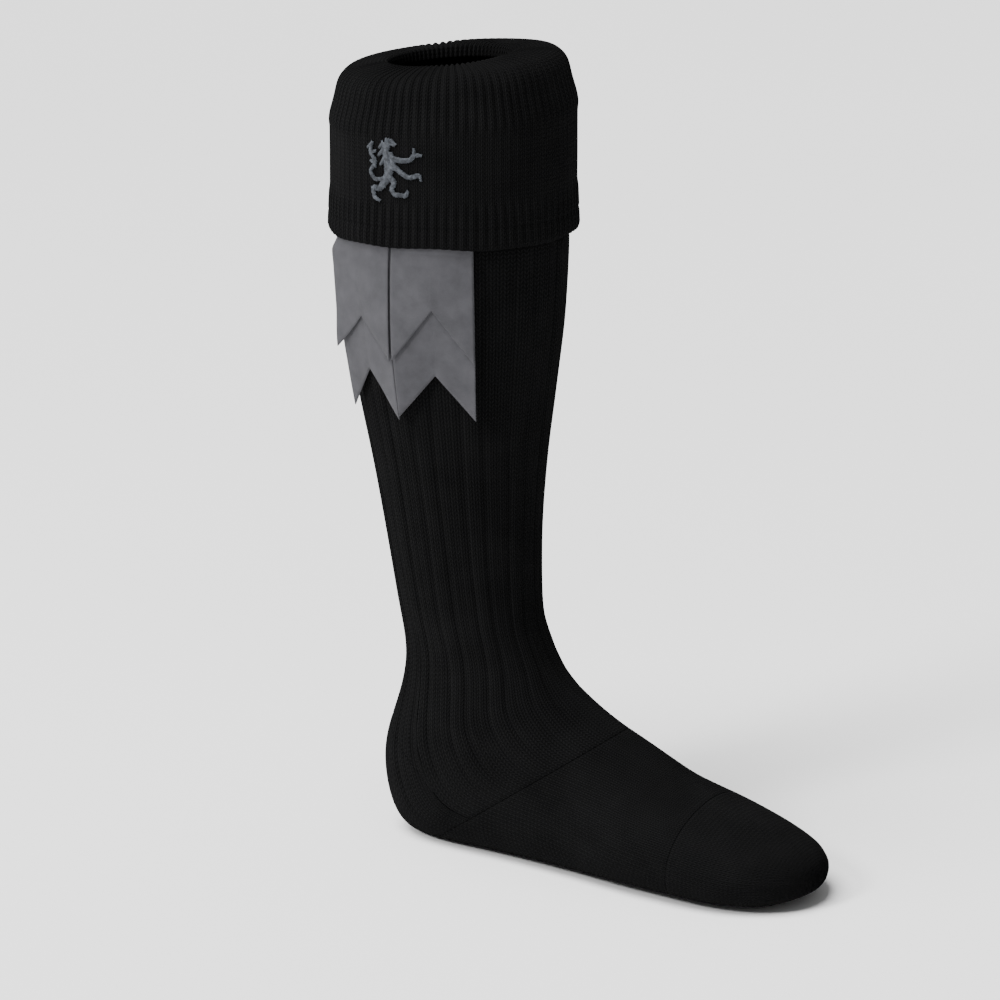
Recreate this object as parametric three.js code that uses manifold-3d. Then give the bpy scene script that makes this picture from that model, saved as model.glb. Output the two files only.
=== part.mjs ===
import * as THREE from 'three';
import { mergeVertices } from 'three/addons/utils/BufferGeometryUtils.js';
import Module from 'manifold-3d';

// A kilt hose sock in its worn form: a ribbed leg, a foot with its heel and toe, a turned-down cuff
// with an embroidered lion, and a hidden garter that carries two flashes.
// Millimetres. +X points to the toe, -Y to the outer side, +Z up.
// The origin is the middle of the leg's hollow at the garter's mid-height.

// Heights above the sole
const RIDGE_HEIGHT = 434;
const ANKLE_HEIGHT = 130;
const INSTEP_HEIGHT = 76;
const BALL_HEIGHT = 47;

// Leg, measured over the rib crests
const CALF_DEPTH = 127;
const CALF_WIDTH = 114;
const ANKLE_DEPTH = 84;
const ANKLE_WIDTH = 66;
const ANKLE_FORWARD = 10;
const LEG_WALL = 3.0;
const LEG_RIBS = 24;
const LEG_RIB_TURN = 5.6;
const LEG_RIB_DEPTH = 1.3;

// Foot
const FOOT_LENGTH = 265;
const HEEL_BEHIND = 42;
const HEEL_WIDTH = 66;
const BALL_WIDTH = 93;
const FOOT_WALL = 2.4;
const SOLE_PRESS = 2.5;
const FLAT_POWER = 0.55;
const HEEL_SEAM_HEIGHT = 74;
const HEEL_SEAM_SLOPE = 0.9;

// Turned-down cuff
const CUFF_DEPTH = 94;
const CUFF_WALL = 2.4;
const CUFF_RIBS = 82;
const CUFF_RIB_DEPTH = 0.8;
const CUFF_DRAW = 31;
const CUFF_SLACK = 0.4;
const PANEL_INSET = 0.5;
const HEM_FLARE = 1.0;
const OPENING_SIDE = -4.3;
const RIM_TILT = 0.10;
const RIM_SIDE_TILT = 0.055;
const HEM_TILT = 0.02;

// Garter and flashes
const GARTER_RISE = 12;
const GARTER_HEIGHT = 18;
const GARTER_THICKNESS = 1.2;
const GARTER_SQUEEZE = 1.6;
const SQUEEZE_FADE = 5;
const FLASH_WIDTH = 42;
const FLASH_THICKNESS = 1.0;
const FLASH_GAP = 0.8;
const FLASH_PAIR_TURN = -93.6;
const SHORT_STAND_OFF = 2.0;
const LONG_STAND_OFF = 1.0;
const EDGE_STAND_OFF = 3.9;

// Emblem
const EMBLEM_WIDTH = 33;
const EMBLEM_HEIGHT = 35;
const EMBLEM_RELIEF = 1.0;
const STROKE_CROWN = 0.7;
const EMBLEM_RISE = 41;

// Fits
const CLEARANCE = 0.3;
const NESTING_CLEARANCE = 0.5;
const OVERCUT = 2;

// Facets
const LEG_POINTS = 2 * LEG_RIBS;
const PLAIN_POINTS = 26;
const LINING_POINTS = 44;
const CUFF_POINTS = 2 * CUFF_RIBS;
const FLASH_COLUMNS = 6;

// Leg sections: height and girth from ankle to calf, shift as a share of ANKLE_FORWARD
const LEG_ROWS = [
  [1.00, 1.00, 0.00],
  [0.82, 0.915, 0.04],
  [0.61, 0.66, 0.12],
  [0.40, 0.355, 0.30],
  [0.20, 0.135, 0.56],
  [0.00, 0.00, 1.00],
];

// Sections round the heel: front along, front up, back along, back up, width, and rib; along as
// shares of FOOT_LENGTH, up as shares of ANKLE_HEIGHT, width of HEEL_WIDTH, rib of LEG_RIB_DEPTH
const TURN_ROWS = [
  [0.376, 0.890, 0.056, 0.800, 1.00, 1.0],
  [0.404, 0.800, 0.035, 0.585, 1.02, 1.0],
  [0.438, 0.735, 0.000, 0.354, 1.03, 1.0],
  [0.475, 0.680, 0.011, 0.154, 1.02, 0.8],
  [0.513, 0.632, 0.053, 0.008, 1.01, 0.6],
];

// Foot sections: top along, rise, sole along, and width; along as shares of FOOT_LENGTH, rise from
// ball to instep height, width from heel to ball
const FOOT_ROWS = [
  [0.555, 1.00, 0.136, 0.04],
  [0.600, 0.78, 0.275, 0.16],
  [0.650, 0.50, 0.430, 0.44],
  [0.695, 0.22, 0.585, 0.82],
  [0.752, 0.00, 0.736, 1.00],
];

// Toe sections: along as a share of the toe's length, width of BALL_WIDTH, top and underside of
// BALL_HEIGHT
const TOE_ROWS = [
  [0.34, 0.96, 0.84, 0.00],
  [0.62, 0.82, 0.72, 0.02],
  [0.83, 0.60, 0.62, 0.10],
  [0.96, 0.32, 0.50, 0.20],
  [1.00, 0.12, 0.40, 0.28],
];

// Cuff's outer line, from inside the opening over the ridge to the hem: up as a share of CUFF_DEPTH,
// draw of CUFF_DRAW, panel of PANEL_INSET, rib of CUFF_RIB_DEPTH
const CUFF_ROWS = [
  [0.920, 1.14, 0, 0.7],
  [0.990, 1.09, 0, 0.9],
  [1.000, 0.98, 0, 1.0],
  [0.975, 0.40, 0, 1.0],
  [0.915, 0.19, 0, 1.0],
  [0.810, 0.10, 0, 1.0],
  [0.665, 0.00, 0, 1.0],
  [0.648, 0.00, 1, 0.3],
  [0.265, 0.00, 1, 0.3],
  [0.240, 0.00, 0, 1.0],
  [0.040, 0.00, 0, 1.0],
  [0.000, 0.04, 0, 0.5],
];

// Underside of the ridge, from inside the opening: up and draw as above
const LIP_ROWS = [
  [0.945, 1.08],
  [0.925, 1.02],
];

// Line of the fold that the cuff's inner face and the leg inside it follow: up and draw as above
const FOLD_ROWS = [
  [1.000, 0.95],
  [0.992, 0.79],
  [0.970, 0.38],
  [0.915, 0.19],
  [0.810, 0.10],
  [0.625, 0.00],
];

// Height share up the cuff to which the leg inside it stays drawn in
const SQUEEZE_TOP_SHARE = 0.35;

// Each flash: place in the pair, then each layer's length and the depth of its notch
const FLASHES = {
  flash_front: { place: 1, short: { length: 81.5, notch: 28 }, long: { length: 113.5, notch: 24 } },
  flash_rear: { place: -1, short: { length: 82.5, notch: 20.5 }, long: { length: 115.5, notch: 24.5 } },
};

// Hang of a flash layer below the calf's top: drop, and stand-off as a share of its full stand-off
const HANG_ROWS = [
  [1.00, 1.00],
  [0.62, 0.60],
  [0.34, 0.30],
  [0.13, 0.10],
];

// Lion's strokes: across, up and width at each point; across and width as shares of EMBLEM_WIDTH,
// up of EMBLEM_HEIGHT
const LION_STROKES = {
  head: [[-0.13, 0.41, 0.13], [-0.05, 0.43, 0.10], [0.05, 0.39, 0.05]],
  back: [[-0.13, 0.41, 0.13], [-0.13, 0.27, 0.12], [-0.10, 0.09, 0.10], [-0.09, -0.10, 0.11]],
  chest: [[-0.05, 0.28, 0.08], [0.00, 0.13, 0.09], [-0.08, -0.07, 0.10]],
  upperForeleg: [[-0.04, 0.20, 0.08], [0.16, 0.17, 0.07], [0.30, 0.19, 0.06], [0.39, 0.27, 0.06],
    [0.50, 0.27, 0.03]],
  upperClaw: [[0.38, 0.26, 0.05], [0.37, 0.37, 0.03]],
  lowerForeleg: [[-0.02, 0.10, 0.08], [0.15, -0.01, 0.07], [0.29, -0.07, 0.06], [0.45, -0.03, 0.06],
    [0.49, -0.11, 0.03]],
  rearLeg: [[-0.09, -0.08, 0.12], [-0.17, -0.19, 0.11], [-0.27, -0.28, 0.08], [-0.38, -0.28, 0.07],
    [-0.36, -0.41, 0.06], [-0.24, -0.47, 0.04]],
  frontLeg: [[-0.08, -0.09, 0.10], [0.02, -0.17, 0.08], [-0.02, -0.28, 0.07], [0.05, -0.35, 0.06],
    [0.22, -0.35, 0.06], [0.27, -0.27, 0.03]],
  tail: [[-0.12, -0.12, 0.06], [-0.32, -0.15, 0.05], [-0.43, -0.04, 0.05], [-0.33, 0.11, 0.05],
    [-0.43, 0.25, 0.06], [-0.39, 0.41, 0.03]],
  tailTuft: [[-0.42, 0.24, 0.05], [-0.31, 0.28, 0.03]],
};

// Places worked out from the sizes
const HEM_HEIGHT = RIDGE_HEIGHT - CUFF_DEPTH;
const GRIP_HEIGHT = HEM_HEIGHT + GARTER_RISE;
const SOLE = -GRIP_HEIGHT;
const HEEL_BACK = -HEEL_BEHIND;
const GARTER_TOP = GARTER_HEIGHT / 2;
const HEM = -GARTER_RISE;
const CALF_TOP = -GARTER_TOP - SQUEEZE_FADE;
const CALF_HEIGHT = GRIP_HEIGHT + CALF_TOP;
const BAND_TOP = CUFF_ROWS.findLast(([, , panel]) => panel === 1)[0];

// Offsets from the squeezed leg outward: long layer, garter, short layer, then the cuff from the calf
const LONG_OFFSET = CLEARANCE + FLASH_THICKNESS / 2;
const GARTER_OFFSET = 2 * CLEARANCE + FLASH_THICKNESS;
const SHORT_OFFSET = GARTER_OFFSET + GARTER_THICKNESS + LONG_OFFSET;
const OUTER_EASE = SHORT_OFFSET + LONG_OFFSET + CUFF_SLACK + CUFF_WALL - GARTER_SQUEEZE;
const INNER_EASE = GARTER_OFFSET + GARTER_THICKNESS + CLEARANCE + CUFF_WALL - GARTER_SQUEEZE;
const CUFF_SIDE = (INNER_EASE - OUTER_EASE) / 2;
const SIDE_EASE = (INNER_EASE + OUTER_EASE) / 2;
const DEPTH_EASE = INNER_EASE + CUFF_SLACK;

const wasm = await Module();
wasm.setup();

const mix = THREE.MathUtils.lerp;
const clamp = THREE.MathUtils.clamp;
const radians = THREE.MathUtils.degToRad;

// Value of a column at a key, from rows sorted by a falling first column
function readRows(rows, key, column) {
  const index = rows.findIndex((row) => row[0] <= key);
  if (index === 0) return rows[0][column];
  if (index < 0) return rows.at(-1)[column];
  const [upper, lower] = [rows[index - 1], rows[index]];
  return mix(lower[column], upper[column], (key - lower[0]) / (upper[0] - lower[0]));
}

// Closed solid from points and triangles
function toSolid(positions, triangles) {
  return new wasm.Manifold(new wasm.Mesh({
    numProp: 3,
    vertProperties: new Float32Array(positions.flat()),
    triVerts: new Uint32Array(triangles.flat()),
  }));
}

// Triangles between rings that run from top to bottom, each counterclockwise from above
function skin(rings, closed) {
  const around = rings[0].length;
  const spans = closed ? rings.length : rings.length - 1;
  const triangles = [];
  for (let i = 0; i < spans; i += 1) {
    const upper = i * around;
    const lower = ((i + 1) % rings.length) * around;
    for (let j = 0; j < around; j += 1) {
      const next = (j + 1) % around;
      triangles.push([upper + j, lower + j, upper + next]);
      triangles.push([lower + j, lower + next, upper + next]);
    }
  }
  return triangles;
}

function middle(ring) {
  const sums = ring.reduce((total, point) => total.map((value, axis) => value + point[axis]));
  return sums.map((value) => value / ring.length);
}

// Body skinned over rings and capped at both ends
function loft(rings) {
  const around = rings[0].length;
  const top = rings.length * around;
  const triangles = skin(rings, false);
  for (let j = 0; j < around; j += 1) {
    const next = (j + 1) % around;
    triangles.push([top, j, next]);
    triangles.push([top + 1, top - around + next, top - around + j]);
  }
  return toSolid([...rings.flat(), middle(rings[0]), middle(rings.at(-1))], triangles);
}

// Ring-shaped body whose rings run round its wall and meet again
function hoop(rings) {
  return toSolid(rings.flat(), skin(rings, true));
}

// Cloth between two grids of points, the first on its outer face
function cloth(outer, inner) {
  const [rows, columns] = [outer.length, outer[0].length];
  const under = rows * columns;
  const triangles = [];
  const quad = (a, b, c, d) => triangles.push([a, b, c], [a, c, d]);
  for (let i = 0; i < rows - 1; i += 1) {
    const [here, next] = [i * columns, (i + 1) * columns];
    const last = columns - 1;
    for (let j = 0; j < last; j += 1) {
      quad(here + j, here + j + 1, next + j + 1, next + j);
      quad(under + here + j, under + next + j, under + next + j + 1, under + here + j + 1);
    }
    quad(here, next, under + next, under + here);
    quad(here + last, under + here + last, under + next + last, next + last);
  }
  for (let j = 0; j < columns - 1; j += 1) {
    const end = under - columns + j;
    quad(j, under + j, under + j + 1, j + 1);
    quad(end, end + 1, under + end + 1, under + end);
  }
  return toSolid([...outer.flat(), ...inner.flat()], triangles);
}

// Angles round a section, each with its share of a rib's depth
function plainAngles(count) {
  return Array.from({ length: count }, (_, i) => ({ angle: (2 * Math.PI * i) / count, valley: 0 }));
}

function ribbedAngles(count, turn) {
  return plainAngles(count).map(({ angle }, i) => ({ angle: angle + radians(turn), valley: i % 2 }));
}

// Ring of a section between its front or top point and its back or sole point, both in the XZ plane.
// The back half is squared off by flat, towards FLAT_POWER, and nothing passes below the sole.
function sectionRing({ front, back, half, flat, rib }, angles, inset) {
  const centre = [(front[0] + back[0]) / 2, (front[1] + back[1]) / 2];
  const arm = [(front[0] - back[0]) / 2, (front[1] - back[1]) / 2];
  const depth = Math.hypot(...arm);
  const power = mix(1, FLAT_POWER, flat);
  return angles.map(({ angle, valley }) => {
    const cut = inset + valley * rib * LEG_RIB_DEPTH;
    const cosine = Math.cos(angle);
    const along = cosine < 0 ? -((-cosine) ** power) : cosine;
    const reach = ((depth - cut) * along) / depth;
    const z = Math.max(centre[1] + arm[1] * reach, SOLE + inset);
    return [centre[0] + arm[0] * reach, (half - cut) * Math.sin(angle), z];
  });
}

// Same section moved along the sock, towards the toe
function moved(section, distance) {
  const [dx, dz] = [section.front[0] - section.back[0], section.front[1] - section.back[1]];
  const scale = distance / Math.hypot(dx, dz);
  const shift = ([x, z]) => [x + dz * scale, z - dx * scale];
  return { ...section, front: shift(section.front), back: shift(section.back) };
}

// Leg's half depth, half width and shift at a height above the sole, drawn in above the calf, fully
// from the garter's lower edge
function legSize(height) {
  const share = clamp((height - ANKLE_HEIGHT) / (CALF_HEIGHT - ANKLE_HEIGHT), 0, 1);
  const girth = readRows(LEG_ROWS, share, 1);
  const squeeze = GARTER_SQUEEZE * clamp((height - CALF_HEIGHT) / SQUEEZE_FADE, 0, 1);
  return {
    depth: mix(ANKLE_DEPTH, CALF_DEPTH, girth) / 2 - squeeze,
    half: mix(ANKLE_WIDTH, CALF_WIDTH, girth) / 2 - squeeze,
    shift: ANKLE_FORWARD * readRows(LEG_ROWS, share, 2),
  };
}

function legSection(height, rib) {
  const { depth, half, shift } = legSize(height);
  const z = SOLE + height;
  return { front: [shift + depth, z], back: [shift - depth, z], half, flat: 0, rib };
}

function legSections() {
  const upper = legSection(mix(HEM_HEIGHT, RIDGE_HEIGHT, SQUEEZE_TOP_SHARE), 0);
  const squeezed = legSection(GRIP_HEIGHT - GARTER_TOP, 0);
  const lower = LEG_ROWS.map(([share]) => legSection(mix(ANKLE_HEIGHT, CALF_HEIGHT, share), 1));
  return [upper, squeezed, ...lower];
}

function turnSections() {
  return TURN_ROWS.map(([frontAlong, frontUp, backAlong, backUp, width, rib], index) => ({
    front: [HEEL_BACK + frontAlong * FOOT_LENGTH, SOLE + frontUp * ANKLE_HEIGHT],
    back: [HEEL_BACK + backAlong * FOOT_LENGTH, SOLE + backUp * ANKLE_HEIGHT],
    half: (width * HEEL_WIDTH) / 2,
    flat: (index + 1) / (TURN_ROWS.length + 1),
    rib,
  }));
}

function footSections() {
  return FOOT_ROWS.map(([topAlong, rise, soleAlong, width]) => ({
    front: [HEEL_BACK + topAlong * FOOT_LENGTH, SOLE + mix(BALL_HEIGHT, INSTEP_HEIGHT, rise)],
    back: [HEEL_BACK + soleAlong * FOOT_LENGTH, SOLE - SOLE_PRESS],
    half: mix(HEEL_WIDTH, BALL_WIDTH, width) / 2,
    flat: 1,
    rib: 0,
  }));
}

// Toe sections, with the tip drawn back by a wall
function toeSections(wall) {
  const start = footSections().at(-1);
  const tip = HEEL_BACK + FOOT_LENGTH - wall;
  return TOE_ROWS.map(([along, width, top, underside]) => ({
    front: [mix(start.front[0], tip, along), SOLE + top * BALL_HEIGHT],
    back: [mix(start.back[0], tip, along), SOLE - SOLE_PRESS + underside * BALL_HEIGHT],
    half: (width * BALL_WIDTH) / 2,
    flat: 1,
    rib: 0,
  }));
}

// Ring of the cuff: up and draw as shares, sunk by a cut across the wall and a drop along it
function cuffRing(angles, up, draw, { cut, drop }, ribDepth) {
  const flare = HEM_FLARE * clamp(1 - up / BAND_TOP, 0, 1);
  const radial = draw * CUFF_DRAW + cut - flare;
  const side = mix(CUFF_SIDE, OPENING_SIDE, clamp(draw, 0, 1));
  const tilt = mix(HEM_TILT, RIM_TILT, up);
  return angles.map(({ angle, valley }) => {
    const inward = radial + valley * ribDepth;
    const x = (CALF_DEPTH / 2 + DEPTH_EASE - inward) * Math.cos(angle);
    const y = side + (CALF_WIDTH / 2 + SIDE_EASE - inward) * Math.sin(angle);
    const height = up * (CUFF_DEPTH + RIM_SIDE_TILT * y) - drop + tilt * x;
    return [x, y, HEM + height];
  });
}

// Rings that follow the fold at a depth under its outer line, from the ridge down
function foldRings(angles, depth) {
  return FOLD_ROWS.map(([up, draw], index) => {
    const above = FOLD_ROWS[Math.max(index - 1, 0)];
    const below = FOLD_ROWS[Math.min(index + 1, FOLD_ROWS.length - 1)];
    const fall = (above[0] - below[0]) * CUFF_DEPTH;
    const spread = (above[1] - below[1]) * CUFF_DRAW;
    const length = Math.hypot(fall, spread);
    const sunk = { cut: (depth * fall) / length, drop: (depth * spread) / length };
    return cuffRing(angles, up, draw, sunk, 0);
  });
}

// Leg from under the ridge to the seam at the foot, at an inset from its face
function legRings(angles, inset) {
  const folded = foldRings(angles, CUFF_WALL + NESTING_CLEARANCE + inset).slice(1, -1);
  const sections = [...legSections(), ...turnSections()];
  return [...folded, ...sections.map((section) => sectionRing(section, angles, inset))];
}

function lifted(ring, rise) {
  return ring.map(([x, y, z]) => [x, y, z + rise]);
}

// All that lies below the sloping heel seam, raised by a gap
function belowHeelSeam(gap) {
  const size = 2 * FOOT_LENGTH;
  const block = new THREE.BoxGeometry(size, size, size);
  block.translate(0, 0, gap - size / 2);
  block.rotateY(Math.atan(HEEL_SEAM_SLOPE));
  block.translate(HEEL_BACK, 0, SOLE + HEEL_SEAM_HEIGHT);
  block.deleteAttribute('normal');
  block.deleteAttribute('uv');
  const { attributes, index } = mergeVertices(block);
  return new wasm.Manifold(new wasm.Mesh({
    numProp: 3,
    vertProperties: attributes.position.array,
    triVerts: new Uint32Array(index.array),
  }));
}

// Ribbed leg, open at the top and where the foot joins, with its heel corner left out
function makeLeg() {
  const [seam] = footSections();
  const ribbed = ribbedAngles(LEG_POINTS, LEG_RIB_TURN);
  const outer = [...legRings(ribbed, 0), sectionRing(seam, ribbed, 0)];
  const angles = plainAngles(PLAIN_POINTS);
  const inner = legRings(angles, LEG_WALL);
  const mouth = lifted(inner[0], LEG_WALL + OVERCUT);
  const end = sectionRing(moved(seam, OVERCUT), angles, LEG_WALL);
  return loft(outer).subtract(loft([mouth, ...inner, end])).subtract(belowHeelSeam(CLEARANCE));
}

// Heel cup below the seam, behind the foot
function makeHeel() {
  const angles = plainAngles(PLAIN_POINTS);
  const [seam] = footSections();
  const sections = [...legSections().slice(-1), ...turnSections()];
  const outer = [...sections, seam].map((section) => sectionRing(section, angles, 0));
  const within = [...sections, moved(seam, OVERCUT)];
  const inner = within.map((section) => sectionRing(section, angles, FOOT_WALL));
  return loft(outer).intersect(belowHeelSeam(0)).subtract(loft([lifted(inner[0], OVERCUT), ...inner]));
}

// Foot from the heel's seam to the toe's
function makeFoot() {
  const angles = plainAngles(PLAIN_POINTS);
  const [seam, ...rest] = footSections();
  const outer = [moved(seam, CLEARANCE), ...rest].map((section) => sectionRing(section, angles, 0));
  const ends = [moved(seam, -OVERCUT), ...rest, moved(rest.at(-1), OVERCUT)];
  return loft(outer).subtract(loft(ends.map((section) => sectionRing(section, angles, FOOT_WALL))));
}

// Toe cap, closed at its tip
function makeToe() {
  const angles = plainAngles(PLAIN_POINTS);
  const start = moved(footSections().at(-1), CLEARANCE);
  const outer = [start, ...toeSections(0)].map((section) => sectionRing(section, angles, 0));
  const hollow = [moved(start, -OVERCUT), ...toeSections(FOOT_WALL)];
  return loft(outer).subtract(loft(hollow.map((section) => sectionRing(section, angles, FOOT_WALL))));
}

// Cuff turned down over the leg: a domed fold, a ribbed top, a finer panel and a ribbed hem
function makeCuff() {
  const ribbed = ribbedAngles(CUFF_POINTS, 0);
  const outer = CUFF_ROWS.map(([up, draw, panel, rib]) => (
    cuffRing(ribbed, up, draw, { cut: panel * PANEL_INSET, drop: 0 }, rib * CUFF_RIB_DEPTH)));
  const angles = plainAngles(LINING_POINTS);
  const lip = LIP_ROWS.map(([up, draw]) => cuffRing(angles, up, draw, { cut: 0, drop: 0 }, 0));
  const band = cuffRing(angles, BAND_TOP, 0, { cut: CUFF_WALL, drop: 0 }, 0);
  const mouth = cuffRing(angles, 0, 0, { cut: CUFF_WALL, drop: OVERCUT }, 0);
  return loft(outer).subtract(loft([...lip, ...foldRings(angles, CUFF_WALL), band, mouth]));
}

// Point off the leg's crests, at a height from the origin
function offLeg(angle, offset, z) {
  const { depth, half, shift } = legSize(z - SOLE);
  return [shift + (depth + offset) * Math.cos(angle), (half + offset) * Math.sin(angle), z];
}

function makeGarter() {
  const angles = plainAngles(LINING_POINTS);
  const corners = [
    [GARTER_OFFSET + GARTER_THICKNESS, GARTER_TOP],
    [GARTER_OFFSET + GARTER_THICKNESS, -GARTER_TOP],
    [GARTER_OFFSET, -GARTER_TOP],
    [GARTER_OFFSET, GARTER_TOP],
  ];
  return hoop(corners.map(([offset, z]) => angles.map(({ angle }) => offLeg(angle, offset, z))));
}

// Middle line of a flash at a place across it, from -1 to 1: offset and height, from the long tip
// over the garter to the short tip. It curves with the leg at the garter and hangs flatter below.
function flashLine({ short, long }, across) {
  const top = GARTER_TOP + CLEARANCE;
  const layer = ({ length, notch }, offset, standOff) => {
    const tip = top - length + (1 - Math.abs(across)) * notch;
    const full = standOff + EDGE_STAND_OFF * across ** 2;
    return HANG_ROWS.map(([drop, away]) => [offset + away * full, mix(CALF_TOP, tip, drop)]);
  };
  const turn = (SHORT_OFFSET + LONG_OFFSET) / 2;
  const shortHang = SHORT_OFFSET - GARTER_SQUEEZE;
  return [
    ...layer(long, LONG_OFFSET, LONG_STAND_OFF),
    [LONG_OFFSET, CALF_TOP],
    [LONG_OFFSET, -GARTER_TOP],
    [LONG_OFFSET, top],
    [turn, top + turn - LONG_OFFSET],
    [SHORT_OFFSET, top],
    [SHORT_OFFSET, -GARTER_TOP],
    [shortHang, CALF_TOP],
    ...layer(short, shortHang, SHORT_STAND_OFF).reverse(),
  ];
}

// Strip folded over the garter, with swallowtail ends
function makeFlash(flash) {
  const reach = (CALF_DEPTH + CALF_WIDTH) / 4;
  const columns = Array.from({ length: FLASH_COLUMNS + 1 }, (_, j) => 1 - (2 * j) / FLASH_COLUMNS);
  const grid = (side) => {
    const lines = columns.map((across) => {
      const line = flashLine(flash, across);
      const arc = (across * FLASH_WIDTH + flash.place * (FLASH_WIDTH + FLASH_GAP)) / 2;
      const angle = radians(FLASH_PAIR_TURN) + arc / reach;
      return line.map(([offset, z], i) => {
        const before = line[Math.max(i - 1, 0)];
        const after = line[Math.min(i + 1, line.length - 1)];
        const step = [after[0] - before[0], after[1] - before[1]];
        const scale = (side * FLASH_THICKNESS) / 2 / Math.hypot(...step);
        return offLeg(angle, offset - step[1] * scale, z + step[0] * scale);
      });
    });
    return lines[0].map((_, i) => lines.map((line) => line[i]));
  };
  return cloth(grid(1), grid(-1));
}

// Point over the cuff's panel on the outer side, from the emblem's centre
function overPanel([across, up, height]) {
  const depth = CALF_DEPTH / 2 + DEPTH_EASE - PANEL_INSET;
  const half = CALF_WIDTH / 2 + SIDE_EASE - PANEL_INSET;
  const offset = CLEARANCE + height;
  const angle = across / depth;
  return [
    (depth + offset) * Math.sin(angle),
    CUFF_SIDE - (half + offset) * Math.cos(angle),
    HEM + EMBLEM_RISE + up,
  ];
}

// Raised stroke along its points, broad at the base and narrower on top
function strokeSolid(stroke) {
  const points = stroke.map(([across, up, width]) => ({
    across: across * EMBLEM_WIDTH,
    up: up * EMBLEM_HEIGHT,
    half: (width * EMBLEM_WIDTH) / 2,
  }));
  return loft(points.map(({ across, up, half }, i) => {
    const before = points[Math.max(i - 1, 0)];
    const after = points[Math.min(i + 1, points.length - 1)];
    const step = [after.across - before.across, after.up - before.up];
    const length = Math.hypot(...step);
    const corner = (side, height) => {
      const [right, rise] = [(-step[1] / length) * side, (step[0] / length) * side];
      return overPanel([across + right, up + rise, height]);
    };
    return [
      corner(-half, 0),
      corner(-half * STROKE_CROWN, EMBLEM_RELIEF),
      corner(half * STROKE_CROWN, EMBLEM_RELIEF),
      corner(half, 0),
    ];
  }));
}

function makeEmblem() {
  const strokes = Object.values(LION_STROKES).map(strokeSolid);
  return strokes.reduce((joined, stroke) => joined.add(stroke));
}

const knit = { color: 0x17171a, roughness: 0.95, metalness: 0 };
const fineKnit = { color: 0x1a1a1d, roughness: 0.95, metalness: 0 };
const elastic = { color: 0x101012, roughness: 0.8, metalness: 0 };
const flashCloth = { color: 0x68686d, roughness: 0.9, metalness: 0 };
const thread = { color: 0x8b95a5, roughness: 0.6, metalness: 0 };

const part = new THREE.Group();

function addPiece(name, solid, look) {
  const { vertProperties, triVerts, numProp } = solid.getMesh();
  const geometry = new THREE.BufferGeometry();
  geometry.setAttribute('position', new THREE.BufferAttribute(vertProperties, numProp));
  geometry.setIndex(new THREE.BufferAttribute(triVerts, 1));
  geometry.computeVertexNormals();
  const mesh = new THREE.Mesh(geometry, new THREE.MeshStandardMaterial(look));
  mesh.name = name;
  part.add(mesh);
}

addPiece('leg', makeLeg(), knit);
addPiece('heel', makeHeel(), fineKnit);
addPiece('foot', makeFoot(), fineKnit);
addPiece('toe', makeToe(), fineKnit);
addPiece('turnover_cuff', makeCuff(), knit);
addPiece('emblem', makeEmblem(), thread);
addPiece('garter_band', makeGarter(), elastic);
addPiece('flash_front', makeFlash(FLASHES.flash_front), flashCloth);
addPiece('flash_rear', makeFlash(FLASHES.flash_rear), flashCloth);

export default part;
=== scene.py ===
import bpy
import numpy as np
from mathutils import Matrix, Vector


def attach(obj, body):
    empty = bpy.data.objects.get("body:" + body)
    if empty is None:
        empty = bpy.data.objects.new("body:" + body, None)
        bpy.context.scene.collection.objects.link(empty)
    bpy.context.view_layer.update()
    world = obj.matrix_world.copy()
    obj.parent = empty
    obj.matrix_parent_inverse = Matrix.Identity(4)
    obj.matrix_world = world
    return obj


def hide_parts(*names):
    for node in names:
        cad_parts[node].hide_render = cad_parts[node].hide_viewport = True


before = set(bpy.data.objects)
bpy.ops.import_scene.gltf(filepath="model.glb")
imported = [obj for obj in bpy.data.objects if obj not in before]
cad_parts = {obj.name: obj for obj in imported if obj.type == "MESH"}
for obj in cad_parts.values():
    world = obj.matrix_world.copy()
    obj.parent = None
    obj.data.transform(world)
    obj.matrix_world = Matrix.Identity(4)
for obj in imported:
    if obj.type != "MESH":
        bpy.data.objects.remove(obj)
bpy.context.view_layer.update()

# Sizes in millimetres, as in the CAD source; pieces are scaled to metres when their meshes are made
MM = 0.001
RIDGE_HEIGHT = 434
ANKLE_HEIGHT = 130
INSTEP_HEIGHT = 76
BALL_HEIGHT = 47
CALF_DEPTH = 127
CALF_WIDTH = 114
ANKLE_DEPTH = 84
ANKLE_WIDTH = 66
ANKLE_FORWARD = 10
LEG_WALL = 3.0
LEG_RIBS = 24
LEG_RIB_TURN = 5.6
LEG_RIB_DEPTH = 1.2
FOOT_LENGTH = 265
HEEL_BEHIND = 42
HEEL_WIDTH = 66
BALL_WIDTH = 93
FOOT_WALL = 2.4
SOLE_PRESS = 2.5
FLAT_POWER = 0.55
HEEL_SEAM_HEIGHT = 74
HEEL_SEAM_SLOPE = 0.9
CUFF_DEPTH = 94
CUFF_WALL = 2.4
CUFF_RIBS = 82
CUFF_RIB_DEPTH = 1.1
CUFF_DRAW = 31
CUFF_SLACK = 0.4
PANEL_INSET = 0.5
HEM_FLARE = 1.0
OPENING_SIDE = -4.3
RIM_TILT = 0.10
RIM_SIDE_TILT = 0.055
HEM_TILT = 0.02
GARTER_RISE = 12
GARTER_HEIGHT = 18
GARTER_THICKNESS = 1.2
GARTER_SQUEEZE = 1.6
SQUEEZE_FADE = 5
FLASH_WIDTH = 42
FLASH_THICKNESS = 1.0
FLASH_GAP = 0.8
FLASH_PAIR_TURN = -93.6
SHORT_STAND_OFF = 2.0
LONG_STAND_OFF = 1.0
EDGE_STAND_OFF = 3.9
EMBLEM_WIDTH = 33
EMBLEM_HEIGHT = 35
EMBLEM_RISE = 41
CLEARANCE = 0.3
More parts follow.
